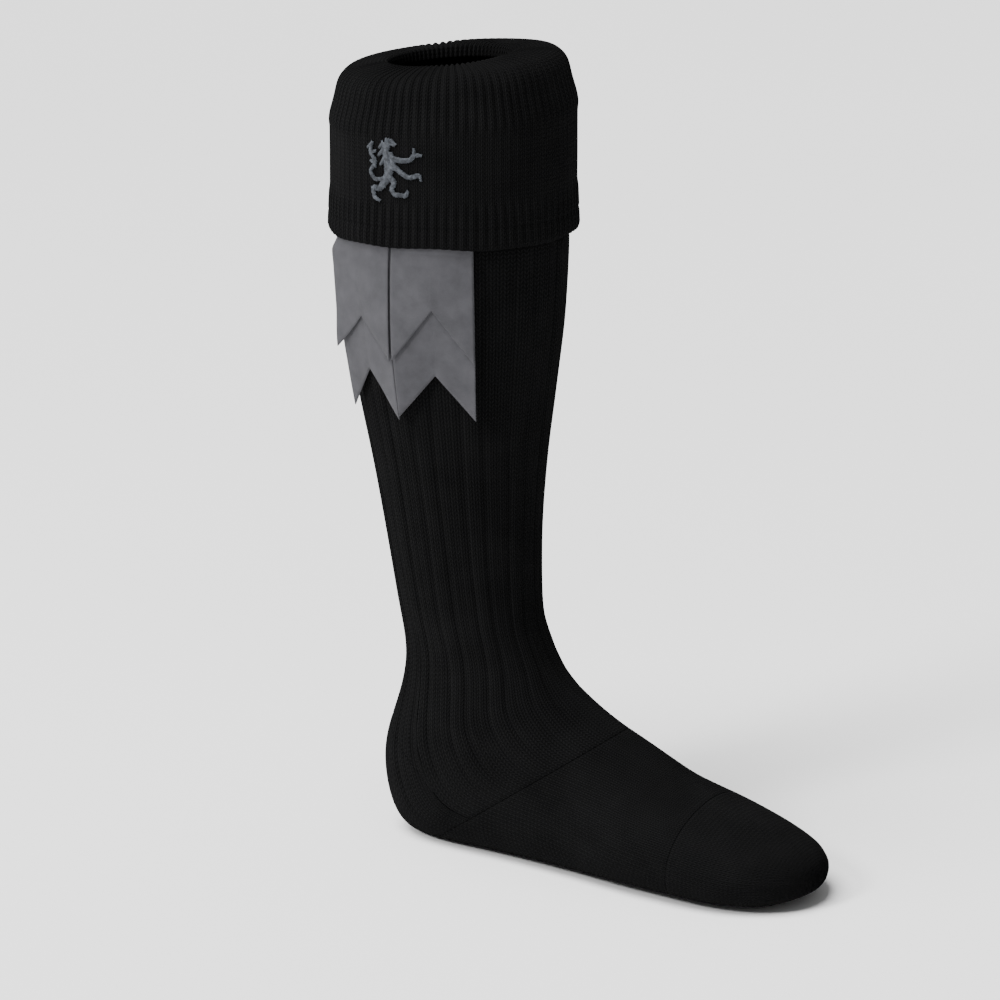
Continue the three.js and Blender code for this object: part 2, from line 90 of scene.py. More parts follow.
NESTING_CLEARANCE = 0.5

# The CAD source's tables, each under the names of its columns
# Height, girth, shift
LEG_ROWS = [
    (1.00, 1.00, 0.00), (0.82, 0.915, 0.04), (0.61, 0.66, 0.12),
    (0.40, 0.355, 0.30), (0.20, 0.135, 0.56), (0.00, 0.00, 1.00),
]
# Front along, front up, back along, back up, width, rib
TURN_ROWS = [
    (0.376, 0.890, 0.056, 0.800, 1.00, 1.0), (0.404, 0.800, 0.035, 0.585, 1.02, 1.0),
    (0.438, 0.735, 0.000, 0.354, 1.03, 1.0), (0.475, 0.680, 0.011, 0.154, 1.02, 0.8),
    (0.513, 0.632, 0.053, 0.008, 1.01, 0.6),
]
# Top along, rise, sole along, width
FOOT_ROWS = [
    (0.555, 1.00, 0.136, 0.04), (0.600, 0.78, 0.275, 0.16), (0.650, 0.50, 0.430, 0.44),
    (0.695, 0.22, 0.585, 0.82), (0.752, 0.00, 0.736, 1.00),
]
# Along, width, top, underside
TOE_ROWS = [
    (0.34, 0.96, 0.84, 0.00), (0.62, 0.82, 0.72, 0.02), (0.83, 0.60, 0.62, 0.10),
    (0.96, 0.32, 0.50, 0.20), (1.00, 0.12, 0.40, 0.28),
]
# Up, draw, panel, rib
CUFF_ROWS = [
    (0.920, 1.14, 0, 0.7), (0.990, 1.09, 0, 0.9), (1.000, 0.98, 0, 1.0), (0.975, 0.40, 0, 1.0),
    (0.915, 0.19, 0, 1.0), (0.810, 0.10, 0, 1.0), (0.665, 0.00, 0, 1.0), (0.648, 0.00, 1, 0.3),
    (0.265, 0.00, 1, 0.3), (0.240, 0.00, 0, 1.0), (0.040, 0.00, 0, 1.0), (0.000, 0.04, 0, 0.5),
]
# Up, draw
FOLD_ROWS = [(1.000, 0.95), (0.992, 0.79), (0.970, 0.38), (0.915, 0.19), (0.810, 0.10), (0.625, 0.00)]
SQUEEZE_TOP_SHARE = 0.35
# Place in the pair, then the length and notch of the short layer and of the long one
FLASHES = {
    "flash_front": (1, (81.5, 28), (113.5, 24)),
    "flash_rear": (-1, (82.5, 20.5), (115.5, 24.5)),
}
# Drops, as shares of a layer's length, at which its line is bent
HANG_DROPS = [1.00, 0.62, 0.34, 0.13]
# Across, up, width
LION_STROKES = [
    [(-0.13, 0.41, 0.13), (-0.05, 0.43, 0.10), (0.05, 0.39, 0.05)],
    [(-0.13, 0.41, 0.13), (-0.13, 0.27, 0.12), (-0.10, 0.09, 0.10), (-0.09, -0.10, 0.11)],
    [(-0.05, 0.28, 0.08), (0.00, 0.13, 0.09), (-0.08, -0.07, 0.10)],
    [(-0.04, 0.20, 0.08), (0.16, 0.17, 0.07), (0.30, 0.19, 0.06), (0.39, 0.27, 0.06), (0.50, 0.27, 0.03)],
    [(0.38, 0.26, 0.05), (0.37, 0.37, 0.03)],
    [(-0.02, 0.10, 0.08), (0.15, -0.01, 0.07), (0.29, -0.07, 0.06), (0.45, -0.03, 0.06),
     (0.49, -0.11, 0.03)],
    [(-0.09, -0.08, 0.12), (-0.17, -0.19, 0.11), (-0.27, -0.28, 0.08), (-0.38, -0.28, 0.07),
     (-0.36, -0.41, 0.06), (-0.24, -0.47, 0.04)],
    [(-0.08, -0.09, 0.10), (0.02, -0.17, 0.08), (-0.02, -0.28, 0.07), (0.05, -0.35, 0.06),
     (0.22, -0.35, 0.06), (0.27, -0.27, 0.03)],
    [(-0.12, -0.12, 0.06), (-0.32, -0.15, 0.05), (-0.43, -0.04, 0.05), (-0.33, 0.11, 0.05),
     (-0.43, 0.25, 0.06), (-0.39, 0.41, 0.03)],
    [(-0.42, 0.24, 0.05), (-0.31, 0.28, 0.03)],
]
# The mane's locks and the tail's tuft, which the CAD emblem leaves out
LION_LOCKS = [
    [(-0.17, 0.42, 0.06), (-0.25, 0.33, 0.03)], [(-0.17, 0.31, 0.07), (-0.27, 0.21, 0.03)],
    [(-0.14, 0.19, 0.07), (-0.23, 0.08, 0.03)], [(-0.03, 0.06, 0.07), (0.03, 0.02, 0.03)],
    [(-0.40, 0.38, 0.05), (-0.49, 0.31, 0.03)],
    [(-0.43, 0.12, 0.03), (-0.36, 0.10, 0.06), (-0.33, 0.03, 0.03)],
]

HEM_HEIGHT = RIDGE_HEIGHT - CUFF_DEPTH
GRIP_HEIGHT = HEM_HEIGHT + GARTER_RISE
SOLE = -GRIP_HEIGHT
HEEL_BACK = -HEEL_BEHIND
GARTER_TOP = GARTER_HEIGHT / 2
HEM = -GARTER_RISE
CALF_TOP = -GARTER_TOP - SQUEEZE_FADE
CALF_HEIGHT = GRIP_HEIGHT + CALF_TOP
BAND_TOP = 0.265
LONG_OFFSET = CLEARANCE + FLASH_THICKNESS / 2
GARTER_OFFSET = 2 * CLEARANCE + FLASH_THICKNESS
SHORT_OFFSET = GARTER_OFFSET + GARTER_THICKNESS + LONG_OFFSET
OUTER_EASE = SHORT_OFFSET + LONG_OFFSET + CUFF_SLACK + CUFF_WALL - GARTER_SQUEEZE
INNER_EASE = GARTER_OFFSET + GARTER_THICKNESS + CLEARANCE + CUFF_WALL - GARTER_SQUEEZE
CUFF_SIDE = (INNER_EASE - OUTER_EASE) / 2
SIDE_EASE = (INNER_EASE + OUTER_EASE) / 2
DEPTH_EASE = INNER_EASE + CUFF_SLACK

# Knit: wales in a rib, their depth and the courses' pitch, in millimetres
LEG_WALES = 4
CUFF_WALES = 2
WALE_DEPTH = 0.22
PLAIN_WALE_DEPTH = 0.8 * WALE_DEPTH
LEG_COURSE = 2.3
CUFF_COURSE = 2.2

# Meshes: columns of points round, and the step between the rings of the body's table
COLUMNS_PER_WALE, COLUMNS_PER_CUFF_RIB = 5, 6
BODY_COLUMNS = LEG_RIBS * LEG_WALES * COLUMNS_PER_WALE
CUFF_COLUMNS = CUFF_RIBS * COLUMNS_PER_CUFF_RIB
BODY_STEP = 0.8
SECTION_POINTS = 4097

# Evening out along the body: reach, height at which it starts and length over which it fades in
EASE_REACH, EASE_START, EASE_FADE = 9.0, -25.0, 25.0

# Steps kept back from the end of the body's table, so that there is always a next ring
END_MARGIN = 1.001


def mix(a, b, share):
    return a + (b - a) * share


def spline(keys, values, at):
    """Smooth curve through values at rising keys, without overshoot, read at other keys."""
    keys, values, at = np.asarray(keys, float), np.asarray(values, float), np.asarray(at, float)
    column = (-1,) + (1,) * (values.ndim - 1)
    step = np.diff(keys).reshape(column)
    slope = np.diff(values, axis=0) / step
    before, after = slope[:-1], slope[1:]
    first = 2 * step[1:] + step[:-1]
    second = step[1:] + 2 * step[:-1]
    same = before * after > 0
    safe_before, safe_after = np.where(same, before, 1), np.where(same, after, 1)
    inner = np.where(same, (first + second) / (first / safe_before + second / safe_after), 0)
    tangent = np.concatenate([slope[:1], inner, slope[-1:]])
    index = np.clip(np.searchsorted(keys, at, side="right") - 1, 0, len(keys) - 2)
    span = step[index]
    t = (at - keys[index]).reshape(column) / span
    start, end = values[index], values[index + 1]
    lead, trail = tangent[index] * span, tangent[index + 1] * span
    return (
        (2 * t**3 - 3 * t**2 + 1) * start + (t**3 - 2 * t**2 + t) * lead
        + (3 * t**2 - 2 * t**3) * end + (t**3 - t**2) * trail
    )


def run_lengths(points):
    """Distance along a line of points, or the mean distance along a stack of rings."""
    steps = np.linalg.norm(np.diff(points, axis=0), axis=-1)
    if steps.ndim > 1:
        steps = steps.mean(axis=1)
    return np.concatenate([[0.0], np.cumsum(steps)])


def grid_normals(points):
    """Outward normals of rings that run from top to bottom, counterclockwise from above."""
    around = np.roll(points, -1, axis=1) - np.roll(points, 1, axis=1)
    along = np.gradient(points, axis=0)
    normals = np.cross(along, around)
    return normals / np.maximum(np.linalg.norm(normals, axis=-1, keepdims=True), 1e-9)


def circle(count):
    return 2 * np.pi * np.arange(count) / count


def cuff_ring(angles, up, draw, cut=0.0, drop=0.0):
    inward = draw * CUFF_DRAW + cut - HEM_FLARE * np.clip(1 - up / BAND_TOP, 0, 1)
    side = mix(CUFF_SIDE, OPENING_SIDE, np.clip(draw, 0, 1))
    x = (CALF_DEPTH / 2 + DEPTH_EASE - inward) * np.cos(angles)
    y = side + (CALF_WIDTH / 2 + SIDE_EASE - inward) * np.sin(angles)
    height = up * (CUFF_DEPTH + RIM_SIDE_TILT * y) - drop + mix(HEM_TILT, RIM_TILT, up) * x
    return np.stack([x, y, HEM + height], axis=-1)


def fold_rings(angles, depth):
    rings = []
    for i, (up, draw) in enumerate(FOLD_ROWS):
        above, below = FOLD_ROWS[max(i - 1, 0)], FOLD_ROWS[min(i + 1, len(FOLD_ROWS) - 1)]
        fall = (above[0] - below[0]) * CUFF_DEPTH
        spread = (above[1] - below[1]) * CUFF_DRAW
        length = np.hypot(fall, spread)
        rings.append(cuff_ring(angles, up, draw, depth * fall / length, depth * spread / length))
    return rings


def section_ring(front, back, half, flat, angles):
    """Ring between its front or top point and its back or sole point, with its columns spread evenly
    along it where it is squared off."""
    front, back = np.array(front, float), np.array(back, float)
    centre, arm = (front + back) / 2, (front - back) / 2
    fine = np.linspace(0, 2 * np.pi, SECTION_POINTS)
    cosine = np.cos(fine)
    along = np.where(cosine < 0, -np.abs(cosine) ** mix(1, FLAT_POWER, flat), cosine)
    line = np.stack([
        centre[0] + arm[0] * along,
        half * np.sin(fine),
        np.maximum(centre[1] + arm[1] * along, SOLE),
    ], axis=1)
    lengths = run_lengths(line)
    even = np.interp(angles / (2 * np.pi) * lengths[-1], lengths, fine)
    places = mix(angles, even, min(1.0, 2 * flat))
    return np.stack([np.interp(places, fine, line[:, axis]) for axis in range(3)], axis=1)


def leg_size(height):
    share = np.clip((height - ANKLE_HEIGHT) / (CALF_HEIGHT - ANKLE_HEIGHT), 0, 1)
    rows = np.array(LEG_ROWS)[::-1]
    girth, shift = np.interp(share, rows[:, 0], rows[:, 1]), np.interp(share, rows[:, 0], rows[:, 2])
    squeeze = GARTER_SQUEEZE * np.clip((height - CALF_HEIGHT) / SQUEEZE_FADE, 0, 1)
    depth = mix(ANKLE_DEPTH, CALF_DEPTH, girth) / 2 - squeeze
    half = mix(ANKLE_WIDTH, CALF_WIDTH, girth) / 2 - squeeze
    return depth, half, ANKLE_FORWARD * shift


def leg_ring(height, angles):
    depth, half, shift = leg_size(height)
    z = SOLE + height
    return section_ring((shift + depth, z), (shift - depth, z), half, 0, angles)


def body_rings(angles):
    """All rings of the sock from under the fold to the toe's tip, with each ring's rib share."""
    rings = fold_rings(angles, CUFF_WALL + NESTING_CLEARANCE)[1:-1]
    rings.append(leg_ring(mix(HEM_HEIGHT, RIDGE_HEIGHT, SQUEEZE_TOP_SHARE), angles))
    rings.append(leg_ring(GRIP_HEIGHT - GARTER_TOP, angles))
    ribs = [0.0] * len(rings)
    for share, _, _ in LEG_ROWS:
        rings.append(leg_ring(mix(ANKLE_HEIGHT, CALF_HEIGHT, share), angles))
        ribs.append(1.0)
    for i, (front_along, front_up, back_along, back_up, width, rib) in enumerate(TURN_ROWS):
        front = (HEEL_BACK + front_along * FOOT_LENGTH, SOLE + front_up * ANKLE_HEIGHT)
        back = (HEEL_BACK + back_along * FOOT_LENGTH, SOLE + back_up * ANKLE_HEIGHT)
        flat = (i + 1) / (len(TURN_ROWS) + 1)
        rings.append(section_ring(front, back, width * HEEL_WIDTH / 2, flat, angles))
        ribs.append(rib)
    seam = len(rings)
    for top_along, rise, sole_along, width in FOOT_ROWS:
        front = (HEEL_BACK + top_along * FOOT_LENGTH, SOLE + mix(BALL_HEIGHT, INSTEP_HEIGHT, rise))
        back = (HEEL_BACK + sole_along * FOOT_LENGTH, SOLE - SOLE_PRESS)
        rings.append(section_ring(front, back, mix(HEEL_WIDTH, BALL_WIDTH, width) / 2, 1, angles))
    toe = len(rings) - 1
    tip = HEEL_BACK + FOOT_LENGTH
    for along, width, top, underside in TOE_ROWS:
        start_front, start_back = front[0], back[0]
        rings.append(section_ring(
            (mix(start_front, tip, along), SOLE + top * BALL_HEIGHT),
            (mix(start_back, tip, along), SOLE - SOLE_PRESS + underside * BALL_HEIGHT),
            width * BALL_WIDTH / 2, 1, angles))
    ribs += [0.0] * (len(rings) - len(ribs))
    return np.array(rings), np.array(ribs), seam, toe


class Body:
    """Smooth surface of the sock from under the fold to the toe, read by distance along it."""

    def __init__(self, columns):
        self.columns = None
        self.angles = circle(columns)
        rings, ribs, seam, toe = body_rings(self.angles)
        places = run_lengths(rings)
        self.length = places[-1]
        self.seam, self.toe = places[seam], places[toe]
        count = int(self.length / BODY_STEP) + 1
        at = np.linspace(0, self.length, count)
        self.step = self.length / (count - 1)
        self.points = self.eased(spline(places, rings, at), at)
        self.points[..., 2] = np.maximum(self.points[..., 2], SOLE)
        self.normals = grid_normals(self.points)
        self.ribs = np.interp(at, places, ribs)
        self.heel = self.heel_line()

    def eased(self, points, at):
        """Points evened out along the sock under EASE_START, but not at the toe's tip."""
        kernel = np.exp(-((at[:, None] - at[None]) / EASE_REACH) ** 2 / 2)
        kernel /= kernel.sum(axis=1, keepdims=True)
        once = np.tensordot(kernel, points, axes=1)
        twice = np.tensordot(kernel, once, axes=1)
        low = np.clip((EASE_START - points[..., 2:]) / EASE_FADE, 0, 1)
        inner = np.clip((at[-1] - at) / EASE_FADE - 1, 0, 1)[:, None, None]
        return mix(points, 2 * once - twice, low * inner)

    def read(self, table, places):
        place = np.clip(places / self.step, 0, len(self.points) - END_MARGIN)
        index = place.astype(int)
        share = (place - index)[..., None]
        column = np.arange(places.shape[1])[None] if self.columns is None else self.columns[None]
        return table[index, column] * (1 - share) + table[index + 1, column] * share

    def shell(self, places, depth):
        """Points at places along the sock, sunk by a depth under the surface."""
        return self.read(self.points, places) - depth[..., None] * self.read(self.normals, places)

    def heel_line(self):
        """Distance along each column at which it meets the heel's sloping seam, or the foot's seam."""
        slope = np.arctan(HEEL_SEAM_SLOPE)
        past = (
            (self.points[..., 0] - HEEL_BACK) * np.sin(slope)
            + (self.points[..., 2] - SOLE - HEEL_SEAM_HEIGHT) * np.cos(slope)
        )
        ends = []
        for column in past.T:
            below = np.nonzero(column < 0)[0]
            if len(below) and below[0] * self.step < self.seam:
                i = below[0]
                ends.append((i - 1 + column[i - 1] / (column[i - 1] - column[i])) * self.step)
            else:
                ends.append(self.seam)
        return np.array(ends)


# Materials

class Shader:
    """Small builder for a procedural material."""

    def __init__(self, name):
        self.material = bpy.data.materials.new(name)
        self.material.use_nodes = True
        self.tree = self.material.node_tree
        self.surface = self.tree.nodes["Principled BSDF"]
        self.coordinates = self.tree.nodes.new("ShaderNodeTexCoord")

    def put(self, socket, value):
        if isinstance(value, bpy.types.NodeSocket):
            self.tree.links.new(value, socket)
        else:
            socket.default_value = value

    def math(self, operation, *values):
        node = self.tree.nodes.new("ShaderNodeMath")
        node.operation = operation
        for socket, value in zip(node.inputs, values):
            self.put(socket, value)
        return node.outputs[0]

    def stitch_place(self):
        node = self.tree.nodes.new("ShaderNodeSeparateXYZ")
        self.put(node.inputs[0], self.coordinates.outputs["UV"])
        return node.outputs[0], node.outputs[1]

    def noise(self, scale, detail=3.0, roughness=0.6):
        node = self.tree.nodes.new("ShaderNodeTexNoise")
        self.put(node.inputs["Vector"], self.coordinates.outputs["Object"])
        node.inputs["Scale"].default_value = scale
        node.inputs["Detail"].default_value = detail
        node.inputs["Roughness"].default_value = roughness
        return node.outputs["Fac"]

    def wave(self, turns):
        """Wave between 0 and 1 that repeats at each whole turn."""
        sine = self.math("SINE", self.math("MULTIPLY", turns, 2 * np.pi))
        return self.math("MULTIPLY_ADD", sine, 0.5, 0.5)

    def ramp(self, factor, stops):
        node = self.tree.nodes.new("ShaderNodeValToRGB")
        self.put(node.inputs[0], factor)
        while len(node.color_ramp.elements) < len(stops):
            node.color_ramp.elements.new(0.5)
        for element, (place, colour) in zip(node.color_ramp.elements, stops):
            element.position = place
            element.color = (*colour, 1)
        return node.outputs[0]

    def bump(self, height, distance, strength=1.0, under=None):
        node = self.tree.nodes.new("ShaderNodeBump")
        self.put(node.inputs["Height"], height)
        node.inputs["Distance"].default_value = distance * MM
        node.inputs["Strength"].default_value = strength
        if under:
            self.put(node.inputs["Normal"], under)
        return node.outputs[0]

    def finish(self, colour, normal, roughness, sheen, sheen_roughness=0.5, specular=0.3):
        self.put(self.surface.inputs["Base Color"], colour)
        self.put(self.surface.inputs["Normal"], normal)
        self.put(self.surface.inputs["Roughness"], roughness)
        self.surface.inputs["Sheen Weight"].default_value = sheen
        self.surface.inputs["Sheen Roughness"].default_value = sheen_roughness
        self.surface.inputs["Specular IOR Level"].default_value = specular
        return self.material


# Fibres and patches of tone, in waves to a metre
WOOL_FIBRES, WOOL_PATCHES = 2600, 38
CLOTH_FIBRES, CLOTH_PATCHES = 2200, 110
THREAD_SHADES = 520

# Stitches: a strand's slant, its fullness, its swell along a loop, and the bow of the purl's bars
STITCH_SLANT, STRAND_FULLNESS, LOOP_SWING, PURL_BOW = 0.85, 0.6, 0.3, 0.22

# What each texture adds to a surface's tone, and what is taken off it; the stitch, weave and strand shares
# paint shade into hollows
WOOL_STITCH_PAINTED_SHADE, WOOL_FIBRE_TONE, WOOL_PATCH_TONE, WOOL_TONE_DROP = 0.45, 0.45, 0.35, 0.12
CLOTH_WEAVE_PAINTED_SHADE, CLOTH_FIBRE_TONE, CLOTH_PATCH_TONE, CLOTH_TONE_DROP = 0.1, 0.35, 0.8, 0.15
STRAND_PAINTED_SHADE, SHADE_TONE = 0.25, 0.8

# Share of the warp's threads in the cloth's weave, and turns of the twist in a thread of satin stitch
WARP_SHARE = 0.2
THREAD_TWIST = 9.0

# Wool's sheen, and its least roughness with what the fibres add to it
WOOL_SHEEN = 0.01
WOOL_ROUGHNESS, FIBRE_ROUGHNESS = 0.68, 0.2

DARK_WOOL, LIGHT_WOOL = (0.0010, 0.0010, 0.0011), (0.0080, 0.0080, 0.0082)
DARK_CLOTH, LIGHT_CLOTH = (0.042, 0.042, 0.046), (0.070, 0.069, 0.076)
DARK_THREAD, LIGHT_THREAD = (0.010, 0.012, 0.016), (0.094, 0.105, 0.123)
DARK_ELASTIC, LIGHT_ELASTIC = (0.006, 0.006, 0.007), (0.018, 0.018, 0.02)
DARK_FLOOR, LIGHT_FLOOR = (0.93, 0.93, 0.93), (0.95, 0.95, 0.95)


def knit_height(shader):
    """Height of plain knit stitches: two slanted strands to a wale, that meet in a V at each course."""
    wale, course = shader.stitch_place()
    math = shader.math
    across = math("SUBTRACT", math("FRACT", wale), 0.5)
    side = math("MULTIPLY", math("ABSOLUTE", across), 2.0)
    centred = math("SUBTRACT", math("MULTIPLY", side, 2.0), 1.0)
    strand = math("SUBTRACT", 1.0, math("POWER", math("ABSOLUTE", centred), 2.0))
    slanted = math("SUBTRACT", course, math("MULTIPLY", side, STITCH_SLANT))
    wave = math("COSINE", math("MULTIPLY", slanted, 2 * np.pi))
    loop = math("MULTIPLY_ADD", wave, LOOP_SWING, 1 - LOOP_SWING)
    return math("MULTIPLY", math("POWER", strand, STRAND_FULLNESS), loop)


def purl_height(shader):
    """Height of the knit's inner face: short bars that bow up and down along each course."""
    wale, course = shader.stitch_place()
    bow = shader.math("COSINE", shader.math("MULTIPLY", wale, 2 * np.pi))
    placed = shader.math("MULTIPLY_ADD", bow, PURL_BOW, course)
    wave = shader.math("COSINE", shader.math("MULTIPLY", placed, 2 * np.pi))
    return shader.math("MULTIPLY_ADD", wave, 0.5, 0.5)


def wool(name, height_of, depth):
    """Black wool whose stitches, of the given height pattern, are as deep as depth in millimetres, with
    painted shade in their gaps.
    """
    shader = Shader(name)
    stitch = height_of(shader)
    fibres = shader.noise(WOOL_FIBRES, detail=4.0, roughness=0.7)
    patches = shader.noise(WOOL_PATCHES, detail=2.0)
    fuzz = shader.math("MULTIPLY", fibres, WOOL_FIBRE_TONE)
    worn = shader.math("MULTIPLY_ADD", patches, WOOL_PATCH_TONE, fuzz)
    worn = shader.math("SUBTRACT", worn, WOOL_TONE_DROP)
    # Painted shade: the colour follows the stitch height, so it is darker in the gaps between the strands
    tone = shader.math("MULTIPLY_ADD", stitch, WOOL_STITCH_PAINTED_SHADE, worn)
    colour = shader.ramp(tone, [(0.15, DARK_WOOL), (0.8, LIGHT_WOOL)])
    normal = shader.bump(fibres, distance=0.22, strength=0.6, under=shader.bump(stitch, depth))
    roughness = shader.math("MULTIPLY_ADD", fibres, FIBRE_ROUGHNESS, WOOL_ROUGHNESS)
    return shader.finish(colour, normal, roughness, WOOL_SHEEN, sheen_roughness=0.45, specular=0.0)


def flash_material():
    shader = Shader("flash_cloth")
    warp, weft = shader.stitch_place()
    ridge = shader.wave(shader.math("ADD", warp, weft))
    thread = shader.math("SINE", shader.math("MULTIPLY", warp, 4 * np.pi))
    weave = shader.math("MULTIPLY_ADD", thread, WARP_SHARE, ridge)
    fibres = shader.noise(CLOTH_FIBRES, detail=4.0, roughness=0.7)
    patches = shader.noise(CLOTH_PATCHES, detail=3.0)
    mottle = shader.math("MULTIPLY_ADD", patches, CLOTH_PATCH_TONE, -CLOTH_TONE_DROP)
    tone = shader.math("MULTIPLY_ADD", fibres, CLOTH_FIBRE_TONE, mottle)
    # Painted shade: the colour follows the weave's height, so it is darker in the weave's grooves
    tone = shader.math("MULTIPLY_ADD", weave, CLOTH_WEAVE_PAINTED_SHADE, tone)
    colour = shader.ramp(tone, [(0.2, DARK_CLOTH), (0.8, LIGHT_CLOTH)])
    woven = shader.bump(weave, distance=0.07, strength=0.8)
    normal = shader.bump(fibres, distance=0.12, strength=0.5, under=woven)
    return shader.finish(colour, normal, roughness=0.85, sheen=0.03, specular=0.12)


def thread_material():
    shader = Shader("embroidery_thread")
    across, along = shader.stitch_place()
    strand = shader.wave(shader.math("MULTIPLY_ADD", across, THREAD_TWIST, along))
    shade = shader.noise(THREAD_SHADES, detail=2.0)
    # Painted shade: the colour follows the twist's ridges, so it is darker between the twists; the noise is
    # tone that differs at random
    tone = shader.math("MULTIPLY_ADD", strand, STRAND_PAINTED_SHADE, shader.math("MULTIPLY", shade, SHADE_TONE))
    colour = shader.ramp(tone, [(0.38, DARK_THREAD), (0.84, LIGHT_THREAD)])
    normal = shader.bump(strand, distance=0.05, strength=0.6)
    return shader.finish(colour, normal, roughness=0.5, sheen=0.02, sheen_roughness=0.4)


def elastic_material():
    shader = Shader("garter_elastic")
    across, along = shader.stitch_place()
    weave = shader.math("MULTIPLY", shader.wave(across), shader.wave(along))
    # Painted shade: the colour follows the weave's height, so it is darker between the cords
    colour = shader.ramp(weave, [(0.1, DARK_ELASTIC), (0.9, LIGHT_ELASTIC)])
    return shader.finish(colour, shader.bump(weave, distance=0.15), roughness=0.7, sheen=0.05)


leg_wool = wool("ribbed_knit", knit_height, depth=0.55)
foot_wool = wool("plain_knit", knit_height, depth=0.5)
cuff_wool = wool("cuff_knit", knit_height, depth=0.5)
inner_wool = wool("knit_inside", purl_height, depth=0.4)
flash_cloth = flash_material()
embroidery = thread_material()
elastic = elastic_material()


# Meshes

def make_piece(name, points, faces, corners, materials, bands, nodes):
    """Mesh object from points in millimetres, faces, each face corner's stitch place and each face's
    material number, riding on the frame in place of CAD nodes."""
    mesh = bpy.data.meshes.new(name)
    mesh.from_pydata((np.asarray(points) * MM).tolist(), [], [tuple(face) for face in faces])
    uv = mesh.uv_layers.new(name="stitches")
    uv.data.foreach_set("uv", np.asarray(corners, np.float32).ravel())
    for material in materials:
        mesh.materials.append(material)
    mesh.polygons.foreach_set("material_index", np.asarray(bands, np.int32))
    mesh.polygons.foreach_set("use_smooth", np.ones(len(mesh.polygons), bool))
    mesh.update()
    piece = bpy.data.objects.new(name, mesh)
    bpy.context.scene.collection.objects.link(piece)
    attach(piece, "root")
    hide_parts(*nodes)
    return piece


def quads(rows, columns, rows_close, columns_close):
    """Faces of a grid, with the row and column of each face's first corner."""
    i, j = np.meshgrid(
        np.arange(rows if rows_close else rows - 1),
        np.arange(columns if columns_close else columns - 1), indexing="ij")
    i, j = i.ravel(), j.ravel()
    below, beside = (i + 1) % rows, (j + 1) % columns
    faces = np.stack([i * columns + j, below * columns + j, below * columns + beside,
                      i * columns + beside], axis=1)
    return faces, i, j


def corner_places(i, j, u, v):
    """Stitch places of each quad's corners; u and v run one past the grid where it closes."""
    return np.stack([
        np.stack([u[j], v[i]], axis=1), np.stack([u[j], v[i + 1]], axis=1),
        np.stack([u[j + 1], v[i + 1]], axis=1), np.stack([u[j + 1], v[i]], axis=1),
    ], axis=1).reshape(-1, 2)


def make_hoop(name, rings, u, v, bands, materials, nodes):
    """Closed wall whose rings run down its outer face and back up its inner face."""
    rows, columns = rings.shape[:2]
    faces, i, j = quads(rows, columns, True, True)
    corners = corner_places(i, j, u, np.append(v, v[-1] + 1))
    return make_piece(name, rings.reshape(-1, 3), faces, corners, materials, bands[i], nodes)


def make_sheet(name, outer, inner, u, v, materials, nodes, inner_band=0):
    """Cloth between two grids of points, with its four edges closed."""
    rows, columns = outer.shape[:2]
    under = rows * columns
    faces, i, j = quads(rows, columns, False, False)
    corners = corner_places(i, j, u, v)
    back = under + faces[:, ::-1]
    back_corners = corners.reshape(-1, 4, 2)[:, ::-1].reshape(-1, 2)
    grid = np.arange(under).reshape(rows, columns)
    border = np.concatenate([grid[0], grid[1:, -1], grid[-1, -2::-1], grid[-2:0:-1, 0]]).tolist()
    edge, edge_corners = [], []
    flat_u, flat_v = np.tile(u[:columns], rows), np.repeat(v[:rows], columns)
    for a, b in zip(border, border[1:] + border[:1]):
        edge.append((a, b, under + b, under + a))
        pair = [(flat_u[a], flat_v[a]), (flat_u[b], flat_v[b])]
        edge_corners += pair + pair[::-1]
    all_faces = faces.tolist() + back.tolist() + edge
    all_corners = np.concatenate([corners, back_corners, np.array(edge_corners)])
    bands = np.array([0] * len(faces) + [inner_band] * len(back) + [0] * len(edge))
    points = np.concatenate([outer.reshape(-1, 3), inner.reshape(-1, 3)])
    return make_piece(name, points, all_faces, all_corners, materials, bands, nodes)


# Leg's ribs, in rib widths from the middle of a raised rib, and depths as shares of LEG_RIB_DEPTH
RAISED_HALF, GROOVE_PLACE, GROOVE_HALF = 0.30, 0.44, 0.13
FLAT_SHARE, SEAM_SHARE = 0.45, 0.14

# A wall's rounded edge: share of the edge's round kept back along the wall, and share of its depth
EDGE = [(1.0, 0.0), (0.35, 0.06), (0.08, 0.25), (0.0, 0.5), (0.08, 0.75), (0.35, 0.94), (1.0, 1.0)]
EDGE_MIDDLE = len(EDGE) // 2
EDGE_ROUND = 0.9

# Seams between the knitted pieces: the gap left, and how their edges are rounded
SEAM_GAP, SEAM_ROUND, SEAM_DIP = 0.05, 0.3, 0.25

# Rings of each wall's outer face and of its inner face
FACE_RINGS = {"leg_knit": (150, 26), "foot_knit": (62, 16), "toe_knit": (44, 14), "cuff_knit": (152, 26)}
HEEL_RINGS = 64

# Waves by which the ribs wander sideways, in ribs: size, length along and count round
BODY_WANDER = [(0.05, 41, 3), (0.035, 17, -5)]
CUFF_WANDER = [(0.06, 19, 4), (0.05, 9, -7)]
WALE_WANDER = 0.3

# Slow unevenness of the knit: depth, then its waves' counts round, lengths along and shift
BODY_UNEVEN = (0.12, (2, 5), (33, 47, 60), 1.3)
CUFF_UNEVEN = (0.11, (3, 6), (27, 35, 40), 0.6)


